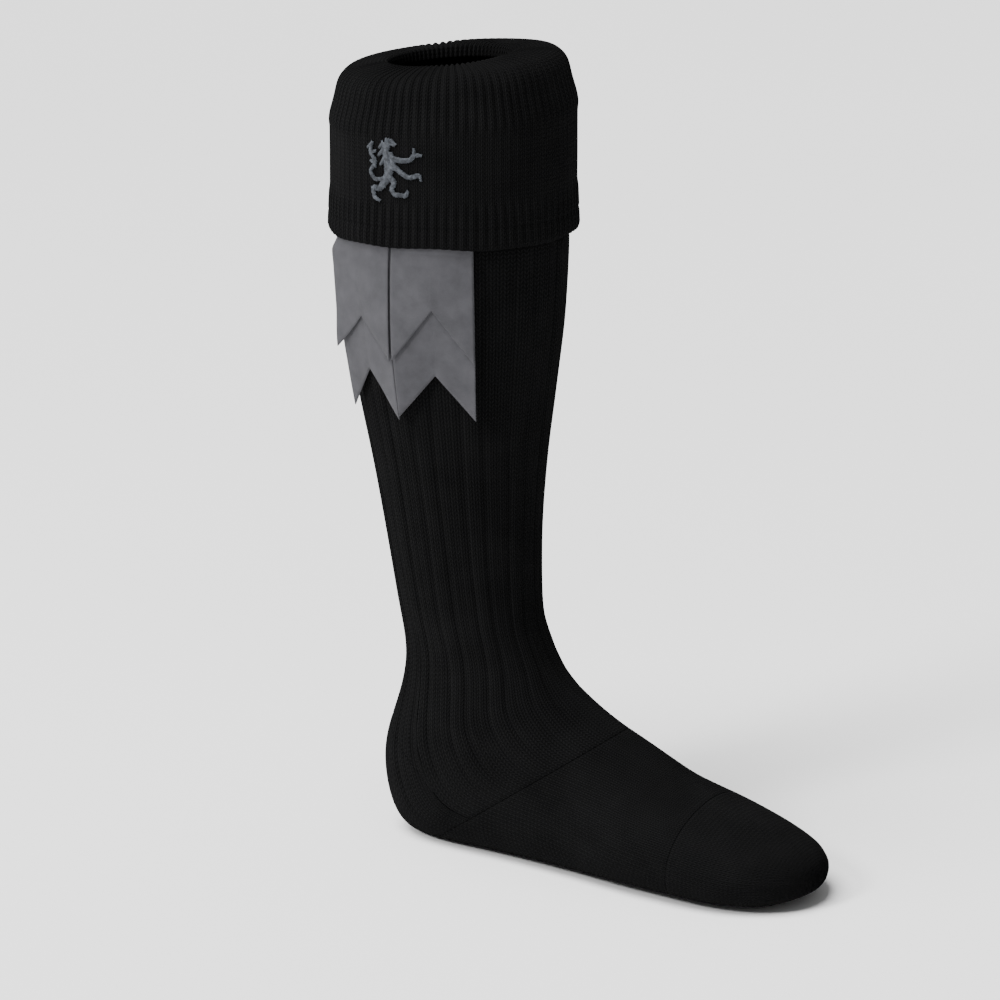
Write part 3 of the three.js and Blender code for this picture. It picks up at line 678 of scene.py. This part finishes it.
def wall_places(start, end, rows, inner_rows, wall, edge=EDGE_ROUND):
    """Places and depths of a wall's rings, from the outer face's start down to its end, round the edge,
    back up the inner face and round the other edge. start and end are given for each column."""
    start, end = np.asarray(start, float), np.asarray(end, float)
    low, high = start + edge, end - edge
    rings = [(mix(low, high, share), 0.0) for share in np.linspace(0, 1, rows)]
    rings += [(end - back * edge, sunk * wall) for back, sunk in EDGE[1:-1]]
    rings += [(mix(low, high, share), wall) for share in np.linspace(1, 0, inner_rows)]
    rings += [(start + back * edge, sunk * wall) for back, sunk in EDGE[-2:0:-1]]
    places = np.array([place for place, _ in rings])
    depths = np.array([np.full(start.size, depth) for _, depth in rings])
    outer = rows + EDGE_MIDDLE
    bands = np.zeros(len(places), int)
    bands[outer:outer + inner_rows + EDGE_MIDDLE - 1] = 1
    return places, depths, bands


def dips(turns):
    """Wave from 0 at each whole turn to 1 halfway between."""
    return 0.5 - 0.5 * np.cos(2 * np.pi * turns)


def wandering(places, angles, waves):
    """Sideways wander of the ribs, in ribs."""
    return sum(size * np.sin(places / length + count * angles) for size, length, count in waves)


def unevenness(places, angles, depth, counts, lengths, shift):
    """Depth of slow waves that turn round the knit as they run along it."""
    turning, fading, crossing = lengths
    slow = np.sin(counts[0] * angles + places / turning) * np.sin(places / fading + shift)
    slow = slow + np.sin(counts[1] * angles - places / crossing)
    return depth * (2 + slow)


def rib_groove(phase):
    """Depth share of the ribs: every second rib stands up, and the one between lies flat and wide."""
    offset = np.abs(phase / 2 - np.round(phase / 2)) * 2
    raised = np.exp(-(offset / RAISED_HALF) ** 4)
    groove = np.exp(-((offset - GROOVE_PLACE) / GROOVE_HALF) ** 2)
    seam = np.exp(-((offset - 1) / GROOVE_HALF) ** 2)
    return np.clip(FLAT_SHARE * (1 - raised) + (1 - FLAT_SHARE) * groove + SEAM_SHARE * seam, 0, 1)


def body_relief(body, places, wales):
    """Depth of ribs, wales and slow unevenness under the body's surface."""
    turn = (body.angles - np.radians(LEG_RIB_TURN)) / (2 * np.pi)
    rib = np.interp(places, np.arange(len(body.ribs)) * body.step, body.ribs)
    wander = wandering(places, body.angles, BODY_WANDER)
    phase = turn * LEG_RIBS + wander * np.clip(rib, 0, 1)
    wale = turn * LEG_RIBS * LEG_WALES
    relief = LEG_RIB_DEPTH * rib * rib_groove(phase)
    relief = relief + wales * dips(wale + WALE_WANDER * wander)
    return relief + unevenness(places, body.angles, *BODY_UNEVEN)


body = Body(BODY_COLUMNS)
WALE_PLACES = np.arange(BODY_COLUMNS + 1) * LEG_RIBS * LEG_WALES / BODY_COLUMNS + 0.5


def body_hoop(name, start, end, wall, materials, nodes):
    places, depths, bands = wall_places(start, end, *FACE_RINGS[name], wall, SEAM_ROUND)
    relief = body_relief(body, places, WALE_DEPTH)
    fade = np.clip(1 - depths / wall, 0, 1)
    rings = body.shell(places, depths + relief * fade)
    v = places.mean(axis=1) / LEG_COURSE
    return make_hoop(name, rings, WALE_PLACES, v, bands, materials, nodes)


everywhere = np.ones(BODY_COLUMNS)
body_hoop("leg_knit", 0 * everywhere, body.heel, LEG_WALL,
          [leg_wool, inner_wool], ["leg"])
body_hoop("foot_knit", (body.seam + SEAM_GAP) * everywhere, body.toe * everywhere, FOOT_WALL,
          [foot_wool, inner_wool], ["foot"])

# Least length of the heel's columns
HEEL_LEAST = 0.3

# Toe cap: fade of the relief at the tip, width and height of the ridge of decreases at each side,
# and how far the faces' middles stand out
TIP_FADE = 14
DECREASE_WIDTH, DECREASE_RISE = 0.018, 0.5
INNER_TIP, OUTER_TIP = 0.3, 0.7


def make_heel():
    """Heel cup: the columns that reach the heel's seam, from it to the foot's seam."""
    columns = np.nonzero(body.heel < body.seam - HEEL_LEAST)[0]
    start, end = body.heel[columns] + SEAM_GAP, np.full(len(columns), body.seam)
    places = mix(start, end, np.linspace(0, 1, HEEL_RINGS)[:, None])
    body.columns = columns
    angles = body.angles
    body.angles = angles[columns]
    relief = body_relief(body, places, PLAIN_WALE_DEPTH)
    nearest = np.minimum(places - start, end - places)
    edge = np.clip(1 - nearest / SEAM_ROUND, 0, 1) ** 2 * SEAM_DIP
    outer = body.shell(places, relief + edge)
    inner = body.shell(places, FOOT_WALL - edge)
    body.columns, body.angles = None, angles
    v = places.mean(axis=1) / LEG_COURSE
    make_sheet("heel_knit", outer, inner, WALE_PLACES[columns], v, [foot_wool, inner_wool],
               ["heel"], inner_band=1)


def make_toe():
    """Toe cap: inner face from its tip back to the opening, round the edge and out to the tip."""
    start, tip = body.toe + SEAM_GAP, body.length
    rows, inner_rows = FACE_RINGS["toe_knit"]
    line = [(p, FOOT_WALL) for p in np.linspace(tip - FOOT_WALL, start + SEAM_ROUND, inner_rows)]
    line += [(start + back * SEAM_ROUND, sunk * FOOT_WALL) for back, sunk in EDGE[-2:0:-1]]
    line += [(p, 0.0) for p in np.linspace(start + SEAM_ROUND, tip, rows)]
    places = np.array([p for p, _ in line])[:, None] * np.ones(BODY_COLUMNS)
    depths = np.array([d for _, d in line])[:, None] * np.ones(BODY_COLUMNS)
    near_tip = np.clip((tip - places) / TIP_FADE, 0, 1)
    relief = body_relief(body, places, PLAIN_WALE_DEPTH) * near_tip
    aside = (np.abs(np.sin(body.angles)) - 1) / DECREASE_WIDTH
    decrease = np.exp(-aside ** 2) * DECREASE_RISE * near_tip
    fade = np.clip(1 - depths / FOOT_WALL, 0, 1)
    rings = body.shell(places, depths + (relief - decrease) * fade)
    count = len(rings)
    faces, i, j = quads(count, BODY_COLUMNS, False, True)
    v = places[:, 0] / LEG_COURSE
    corners = corner_places(i, j, WALE_PLACES, v)
    bands = (i < inner_rows + EDGE_MIDDLE - 1).astype(int)
    points = rings.reshape(-1, 3)
    inner_tip = rings[0].mean(axis=0) + [INNER_TIP, 0, 0]
    outer_tip = rings[-1].mean(axis=0) + [OUTER_TIP, 0, 0]
    inner_pole, outer_pole = len(points), len(points) + 1
    caps, cap_corners, last = [], [], (count - 1) * BODY_COLUMNS
    for k in range(BODY_COLUMNS):
        beside = (k + 1) % BODY_COLUMNS
        caps.append((inner_pole, k, beside))
        caps.append((outer_pole, last + beside, last + k))
        left, right = WALE_PLACES[k], WALE_PLACES[k + 1]
        cap_corners += [(left, v[0]), (left, v[0]), (right, v[0])]
        cap_corners += [(left, v[-1] + 1), (right, v[-1]), (left, v[-1])]
    all_faces = faces.tolist() + caps
    all_corners = np.concatenate([corners, np.array(cap_corners)])
    bands = np.concatenate([bands, np.tile([1, 0], BODY_COLUMNS)])
    make_piece("toe_knit", np.concatenate([points, [inner_tip], [outer_tip]]), all_faces, all_corners,
               [foot_wool, inner_wool], bands, ["toe"])


make_heel()
make_toe()


# Turned-down cuff

# Height above the hem of the line that the hem's doubled edge makes, its width and its depth
HEM_LINE, HEM_LINE_WIDTH, HEM_LINE_DEPTH = 11.0, 0.9, 0.45

# Points of the cuff's profile, and the reach over which its steps above the hem are softened
PROFILE_POINTS = 700
CUFF_BLEND = 1.6

# Waves of the hem's edge, by height, count round and turn, and the share of the cuff that they reach
HEM_WAVES = [(0.45, 4, 0.7), (0.35, 9, 0.0)]
HEM_WAVE_REACH = 0.35

# How narrow the ribs' grooves are, and the rib share of the panel in CUFF_ROWS
CUFF_GROOVE_POWER = 1.5
PANEL_RIB = 0.3


def make_cuff():
    angles = circle(CUFF_COLUMNS)
    rows = np.array(CUFF_ROWS)
    profile = np.stack([rows[:, 1] * CUFF_DRAW + rows[:, 2] * PANEL_INSET, rows[:, 0] * CUFF_DEPTH], axis=1)
    keys = run_lengths(profile)
    fine = np.linspace(0, keys[-1], PROFILE_POINTS)
    line = spline(keys, rows, fine)
    kernel = np.exp(-((fine[:, None] - fine[None]) / CUFF_BLEND) ** 2 / 2)
    blend = np.clip(line[:, :1] * CUFF_DEPTH / HEM_LINE - 1, 0, 1)
    line[:, 1:] = mix(line[:, 1:], kernel @ line[:, 1:] / kernel.sum(axis=1, keepdims=True), blend)
    hem_wave = sum(size * np.sin(count * angles + turn) for size, count, turn in HEM_WAVES)
    table = np.array([cuff_ring(angles, up, draw, panel * PANEL_INSET) for up, draw, panel, _ in line])
    low = np.clip(1 - line[:, 0] / HEM_WAVE_REACH, 0, 1)[:, None] ** 2
    table[..., 2] += low * hem_wave
    normals = grid_normals(table)
    start, end = 0 * angles, keys[-1] + 0 * angles
    places, depths, bands = wall_places(start, end, *FACE_RINGS["cuff_knit"], CUFF_WALL)
    index = places[:, 0] / (fine[1] - fine[0])
    below = np.clip(index.astype(int), 0, len(fine) - 2)
    share = np.clip(index - below, 0, 1)[:, None, None]

    def at(values):
        return values[below] * (1 - share) + values[below + 1] * share

    up = np.interp(places, fine, line[:, 0])
    rib = np.interp(places, fine, line[:, 3])
    phase = angles / (2 * np.pi) * CUFF_RIBS + wandering(places, angles, CUFF_WANDER)
    relief = CUFF_RIB_DEPTH * rib * dips(phase) ** CUFF_GROOVE_POWER
    panel = np.clip((1 - rib) / (1 - PANEL_RIB), 0, 1)
    relief += panel * WALE_DEPTH * dips(CUFF_WALES * phase)
    relief += HEM_LINE_DEPTH * np.exp(-((up * CUFF_DEPTH - HEM_LINE) / HEM_LINE_WIDTH) ** 2)
    relief += unevenness(places, angles, *CUFF_UNEVEN)
    fade = np.clip(1 - depths / CUFF_WALL, 0, 1)
    rings = at(table) - (depths + relief * fade)[..., None] * at(normals)
    u = np.arange(CUFF_COLUMNS + 1) * CUFF_RIBS * CUFF_WALES / CUFF_COLUMNS + 0.5
    make_hoop("cuff_knit", rings, u, places[:, 0] / CUFF_COURSE, bands, [cuff_wool, inner_wool],
              ["turnover_cuff"])


make_cuff()


# Garter and flashes, which lie on the leg as it is drawn in

def leg_lines():
    """Front, back and side of the leg by height, where its rings are level."""
    top_height = mix(HEM_HEIGHT, RIDGE_HEIGHT, SQUEEZE_TOP_SHARE)
    top, end = np.searchsorted(-body.points[:, 0, 2], [-(SOLE + top_height), -(SOLE + ANKLE_HEIGHT)])
    level = body.points[top:end][::-1]
    quarter = BODY_COLUMNS // 4
    return level[:, 0, 2], level[:, 0, 0], level[:, 2 * quarter, 0], level[:, quarter, 1]


LEVEL_Z, FRONT_X, BACK_X, SIDE_Y = leg_lines()


def off_leg(angle, offset, z):
    front, back = np.interp(z, LEVEL_Z, FRONT_X), np.interp(z, LEVEL_Z, BACK_X)
    half = np.interp(z, LEVEL_Z, SIDE_Y)
    x = (front + back) / 2 + ((front - back) / 2 + offset) * np.cos(angle)
    return np.stack([x, (half + offset) * np.sin(angle), z + 0 * x], axis=-1)


# Garter: columns, rings on each face and edge, depth of its cords, and threads to a column
GARTER_COLUMNS = 360
GARTER_FACE_RINGS, GARTER_EDGE_RINGS = 18, 3
CORD_DEPTH = 0.12
GARTER_THREADS = 0.9


def make_garter():
    angles = circle(GARTER_COLUMNS)
    corners = [(0.0, 1.0), (0.0, -1.0), (1.0, -1.0), (1.0, 1.0)]
    line = []
    for (d0, z0), (d1, z1) in zip(corners, corners[1:] + corners[:1]):
        steps = GARTER_FACE_RINGS if z0 != z1 else GARTER_EDGE_RINGS
        line += [(mix(d0, d1, k / steps), mix(z0, z1, k / steps)) for k in range(steps)]
    rings = []
    for sunk, height in line:
        cord = CORD_DEPTH * np.cos(height * GARTER_TOP * np.pi)
        offset = GARTER_OFFSET + (1 - sunk) * (GARTER_THICKNESS - CORD_DEPTH + cord)
        rings.append(off_leg(angles, offset, np.full(angles.shape, height * GARTER_TOP)))
    rings = np.array(rings)
    u = np.arange(GARTER_COLUMNS + 1) * GARTER_THREADS
    return make_hoop("garter_elastic", rings, u, run_lengths(rings), np.zeros(len(rings), int), [elastic],
                     ["garter_band"])


garter = make_garter()

# How much closer to the leg the short layer's tip hangs than its solid
HANG_CLOSER = 0.9


def flash_line(short, long, across):
    """Middle line at a place across a flash: offset and height, from the long tip to the short tip."""
    top = GARTER_TOP + CLEARANCE
    turn = (SHORT_OFFSET + LONG_OFFSET) / 2
    hang = SHORT_OFFSET - GARTER_SQUEEZE

    def layer(length, notch, offset, stand_off):
        tip = top - length + (1 - abs(across)) * notch
        away = (CALF_TOP - tip) / (CALF_TOP - top + length) * stand_off
        return [(offset + drop * away, mix(CALF_TOP, tip, drop)) for drop in HANG_DROPS]

    return layer(*long, LONG_OFFSET, LONG_STAND_OFF) + [
        (LONG_OFFSET, CALF_TOP), (LONG_OFFSET, -GARTER_TOP), (LONG_OFFSET, top),
        (turn, top + turn - LONG_OFFSET), (SHORT_OFFSET, top), (SHORT_OFFSET, -GARTER_TOP),
        (hang, CALF_TOP),
    ] + layer(*short, hang, SHORT_STAND_OFF - HANG_CLOSER)[::-1]


# Flash meshes: columns across, spacing of the threads, and points to each stretch of a flash's line
FLASH_COLUMNS = 61
THREAD_SPACING = 0.55
FLASH_SPLITS = [12, 9, 9, 8, 3, 8, 5, 5, 8, 3, 8, 8, 8, 12]

# Station just past the fold's top, where the short layer starts
SHORT_START = 7.5

# Ripples: size on the long layer and the short one, middle height, and length of their fading in
LONG_RIPPLE, SHORT_RIPPLE, RIPPLE_REST, RIPPLE_FADE = 0.35, 0.6, 0.9, 70

# Size, turn across and length down of each ripple, and the slow one's turn by seed
SLOW_RIPPLE, QUICK_RIPPLE = (0.75, 2.6, 30), (0.35, 6.3, 15)
SLOW_SEED_TURN = 0.8

# Thinning of the cloth: its share, how wide it is at the sides and how steep it is at the ends
THINNING, THIN_SIDE, THIN_END = 0.55, 0.05, 3

# Rear flash's loose rear edge: height, then what the long layer and the short one stand off by
REAR_EDGE = [
    (-106, 2.2, 4.9), (-84, 2.3, 4.9), (-71, 2.6, 4.7), (-50, 2.4, 3.4), (-30, 3.0, 3.5), (-21, 2.6, 3.9),
    (-14, 0.8, 1.2), (-8, 0.0, 0.0),
]

# How far the long layer's sides stand out past the solid's, and the short layer's stay inside them
EDGE_TRIM = 0.3


def ripples(across, height, seed):
    """A slow and a quick ripple that slant opposite ways across a flash."""
    slow_size, slow_turn, slow_length = SLOW_RIPPLE
    quick_size, quick_turn, quick_length = QUICK_RIPPLE
    slow = slow_size * np.sin(slow_turn * across + SLOW_SEED_TURN * seed + height / slow_length)
    return slow + quick_size * np.sin(quick_turn * across - height / quick_length + seed)


def make_flash(name, seed, node):
    place, short, long = FLASHES[node]
    reach = (CALF_DEPTH + CALF_WIDTH) / 4
    across = 1 - 2 * np.linspace(0, 1, FLASH_COLUMNS)
    at = np.concatenate([[0.0]] + [i + np.arange(1, n + 1) / n for i, n in enumerate(FLASH_SPLITS)])
    keys = np.arange(len(FLASH_SPLITS) + 1.0)
    lines = np.array([spline(keys, np.array(flash_line(short, long, a)), at) for a in across])
    step = np.gradient(lines, axis=1)
    step /= np.linalg.norm(step, axis=-1, keepdims=True)
    height, long_layer = lines[..., 1], at < SHORT_START
    below = np.clip((CALF_TOP - height) / RIPPLE_FADE, 0, 1)
    outward = np.where(long_layer, LONG_RIPPLE, SHORT_RIPPLE)[None] * below
    a = across[:, None]
    short_hang = short[0] - GARTER_TOP - CLEARANCE + CALF_TOP
    flat = np.clip((CALF_TOP - height) / short_hang, 0, 1) * EDGE_STAND_OFF * a ** 2
    rear = np.array(REAR_EDGE)
    kept = np.clip(height, rear[0, 0], rear[-1, 0])
    off = spline(rear[:, 0], rear[:, 1:], kept.ravel()).reshape(*kept.shape, 2)
    loose = np.where(long_layer, off[..., 0], off[..., 1]) * a ** 2
    stand_off = np.where((place < 0) & (a < 0), loose, flat)
    offset = lines[..., 0] + stand_off + outward * (ripples(a, height, seed) + RIPPLE_REST)
    trim = np.where(long_layer, -EDGE_TRIM, EDGE_TRIM)[None]
    arc = (a * (FLASH_WIDTH - 2 * trim) + place * (FLASH_WIDTH + FLASH_GAP)) / 2
    angle = np.radians(FLASH_PAIR_TURN) + arc / reach + 0 * offset
    edge = np.clip((np.abs(across) - (1 - THIN_SIDE)) / THIN_SIDE, 0, 1)[:, None] ** 2
    ends = np.clip(1 - np.minimum(at, at[-1] - at) * THIN_END, 0, 1)[None] ** 2
    thick = FLASH_THICKNESS / 2 * (1 - THINNING * np.maximum(edge, ends))

    def face(side):
        out, up = offset - side * thick * step[..., 1], height + side * thick * step[..., 0]
        return off_leg(angle, out, up).transpose(1, 0, 2)

    middle = off_leg(angle, offset, height)
    length = run_lengths(middle[0])
    v = length / THREAD_SPACING
    u = across[::-1] * FLASH_WIDTH / 2 / THREAD_SPACING
    piece = make_sheet(name, face(1), face(-1), u, v, [flash_cloth], [node])


make_flash("flash_front_cloth", 0.4, "flash_front")
make_flash("flash_rear_cloth", 2.1, "flash_rear")


# Embroidered lion in satin stitch

# Threads: pitch along a stroke, radius, width to height, and corners and stations of their mesh
THREAD_PITCH = 0.42
THREAD_RADIUS = 0.24
THREAD_SPREAD = 1.05
THREAD_SIDES, THREAD_STATIONS = 6, 9

# A thread's half length: share of the stroke's half width, its variation, what is added, and its lean
STITCH_SHARE, STITCH_UNEVEN, STITCH_MARGIN = 1.1, 0.16, 0.15
STITCH_LEAN = 0.3

# A thread's arch: full height, least share of it, half length that adds all of it, reach, and sink
SATIN_CROWN, LEAST_CROWN, CROWN_HALF = 0.95, 0.25, 1.2
ARCH_REACH, END_SINK = 0.97, 0.15


def over_panel(across, up, height):
    depth = CALF_DEPTH / 2 + DEPTH_EASE - PANEL_INSET
    half = CALF_WIDTH / 2 + SIDE_EASE - PANEL_INSET
    angle = across / depth
    return np.stack([
        (depth + height) * np.sin(angle),
        CUFF_SIDE - (half + height) * np.cos(angle),
        HEM + EMBLEM_RISE + up + 0 * angle,
    ], axis=-1)


def thread_points(across, up, half, tx, tz):
    """Points of a thread laid over a stroke whose middle, half length and direction are given."""
    lean = STITCH_LEAN * half
    crown = SATIN_CROWN * min(1.0, half / CROWN_HALF + LEAST_CROWN)
    points = []
    for q in np.linspace(-1, 1, THREAD_STATIONS):
        x = across - tz * half * q + tx * lean * q
        z = up + tx * half * q + tz * lean * q
        lift = crown * np.sqrt(max(0.0, 1 - (ARCH_REACH * q) ** 2)) - END_SINK
        for k in range(THREAD_SIDES):
            turn = 2 * np.pi * k / THREAD_SIDES
            side = THREAD_RADIUS * np.cos(turn) * THREAD_SPREAD
            points.append(over_panel(x + tx * side, z + tz * side, lift + THREAD_RADIUS * np.sin(turn)))
    return points


def thread_faces():
    """Faces of one thread, and the stitch places of their corners."""
    faces, corners = [], []
    sides, spans = THREAD_SIDES, THREAD_STATIONS - 1
    for s in range(spans):
        for k in range(sides):
            a, b, n = s * sides, (s + 1) * sides, (k + 1) % sides
            faces.append((a + k, b + k, b + n, a + n))
            near, far, low, high = s / spans, (s + 1) / spans, k / sides, (k + 1) / sides
            corners += [(near, low), (far, low), (far, high), (near, high)]
    faces.append(tuple(range(sides)))
    faces.append(tuple(spans * sides + k for k in range(sides - 1, -1, -1)))
    corners += [(0.0, k / sides) for k in range(sides)] * 2
    return faces, corners


def make_emblem():
    rng = np.random.default_rng(7)
    points, faces, corners = [], [], []
    one_thread, one_thread_corners = thread_faces()
    for stroke in LION_STROKES + LION_LOCKS:
        rows = np.array(stroke) * [EMBLEM_WIDTH, EMBLEM_HEIGHT, EMBLEM_WIDTH / 2]
        keys = run_lengths(rows[:, :2])
        count = max(3, int(keys[-1] / THREAD_PITCH))
        line = spline(keys, rows, np.linspace(0, keys[-1], count + 1))
        tangent = np.gradient(line[:, :2], axis=0)
        tangent /= np.linalg.norm(tangent, axis=1, keepdims=True)
        for (across, up, half), (tx, tz) in zip(line, tangent):
            share = STITCH_SHARE + rng.uniform(-STITCH_UNEVEN, STITCH_UNEVEN)
            base = len(points)
            points += thread_points(across, up, half * share + STITCH_MARGIN, tx, tz)
            faces += [tuple(base + corner for corner in face) for face in one_thread]
            corners += one_thread_corners
    make_piece("lion_embroidery", np.array(points), faces, corners, [embroidery],
               np.zeros(len(faces), int), ["emblem"])


make_emblem()


# Floor, lamps and camera, placed in metres

FLOOR_REACH, FLOOR_DROP = 12.0, 0.0005
KEY_PLACE, KEY_SIZE, KEY_POWER = (-1.05, -2.3, 1.6), 0.7, 76
CEILING_SOURCE, CEILING_ANGLE, CEILING_STRENGTH = (-0.34, -0.5, 1.5), 0.7, 6.0
WORLD_STRENGTH = 0.3
CAMERA_PLACE = (1.1244, -1.8993, 0.4700)
CAMERA_DIRECTION = (-0.4806, 0.8325, -0.2756)


def make_floor():
    mesh = bpy.data.meshes.new("floor")
    reach, z = FLOOR_REACH, SOLE * MM - FLOOR_DROP
    mesh.from_pydata([(-reach, -reach, z), (reach, -reach, z), (reach, reach, z), (-reach, reach, z)],
                     [], [(0, 1, 2, 3)])
    floor = bpy.data.objects.new("floor", mesh)
    bpy.context.scene.collection.objects.link(floor)
    shader = Shader("pale_floor")
    tone = shader.noise(1.2, detail=1.0)
    colour = shader.ramp(tone, [(0.3, DARK_FLOOR), (0.7, LIGHT_FLOOR)])
    shader.put(shader.surface.inputs["Base Color"], colour)
    shader.surface.inputs["Roughness"].default_value = 0.9
    shader.surface.inputs["Specular IOR Level"].default_value = 0.1
    mesh.materials.append(shader.material)


def add_aimed(name, data, place, direction):
    """Lamp or camera at a place, looking along a direction."""
    aimed = bpy.data.objects.new(name, data)
    aimed.location = place
    aimed.rotation_mode = "QUATERNION"
    aimed.rotation_quaternion = Vector(direction).to_track_quat("-Z", "Y")
    bpy.context.scene.collection.objects.link(aimed)
    return aimed


def make_key():
    light = bpy.data.lights.new("key", "AREA")
    light.shape = "DISK"
    light.size = KEY_SIZE
    light.energy = KEY_POWER
    add_aimed("key", light, KEY_PLACE, -Vector(KEY_PLACE))


def make_ceiling():
    """Even light from above, which keeps the floor pale and the shadows soft."""
    light = bpy.data.lights.new("ceiling", "SUN")
    light.energy = CEILING_STRENGTH
    light.angle = CEILING_ANGLE
    add_aimed("ceiling", light, (0, 0, 0), -Vector(CEILING_SOURCE))


make_floor()
make_key()
make_ceiling()

world = bpy.data.worlds.new("studio")
bpy.context.scene.world = world
world.use_nodes = True
background = world.node_tree.nodes["Background"]
background.inputs["Color"].default_value = (1, 1, 1, 1)
background.inputs["Strength"].default_value = WORLD_STRENGTH

camera = bpy.data.cameras.new("camera")
camera.lens = 153
camera.sensor_width = 36
camera.clip_start, camera.clip_end = 0.05, 60
bpy.context.scene.camera = add_aimed("camera", camera, CAMERA_PLACE, CAMERA_DIRECTION)
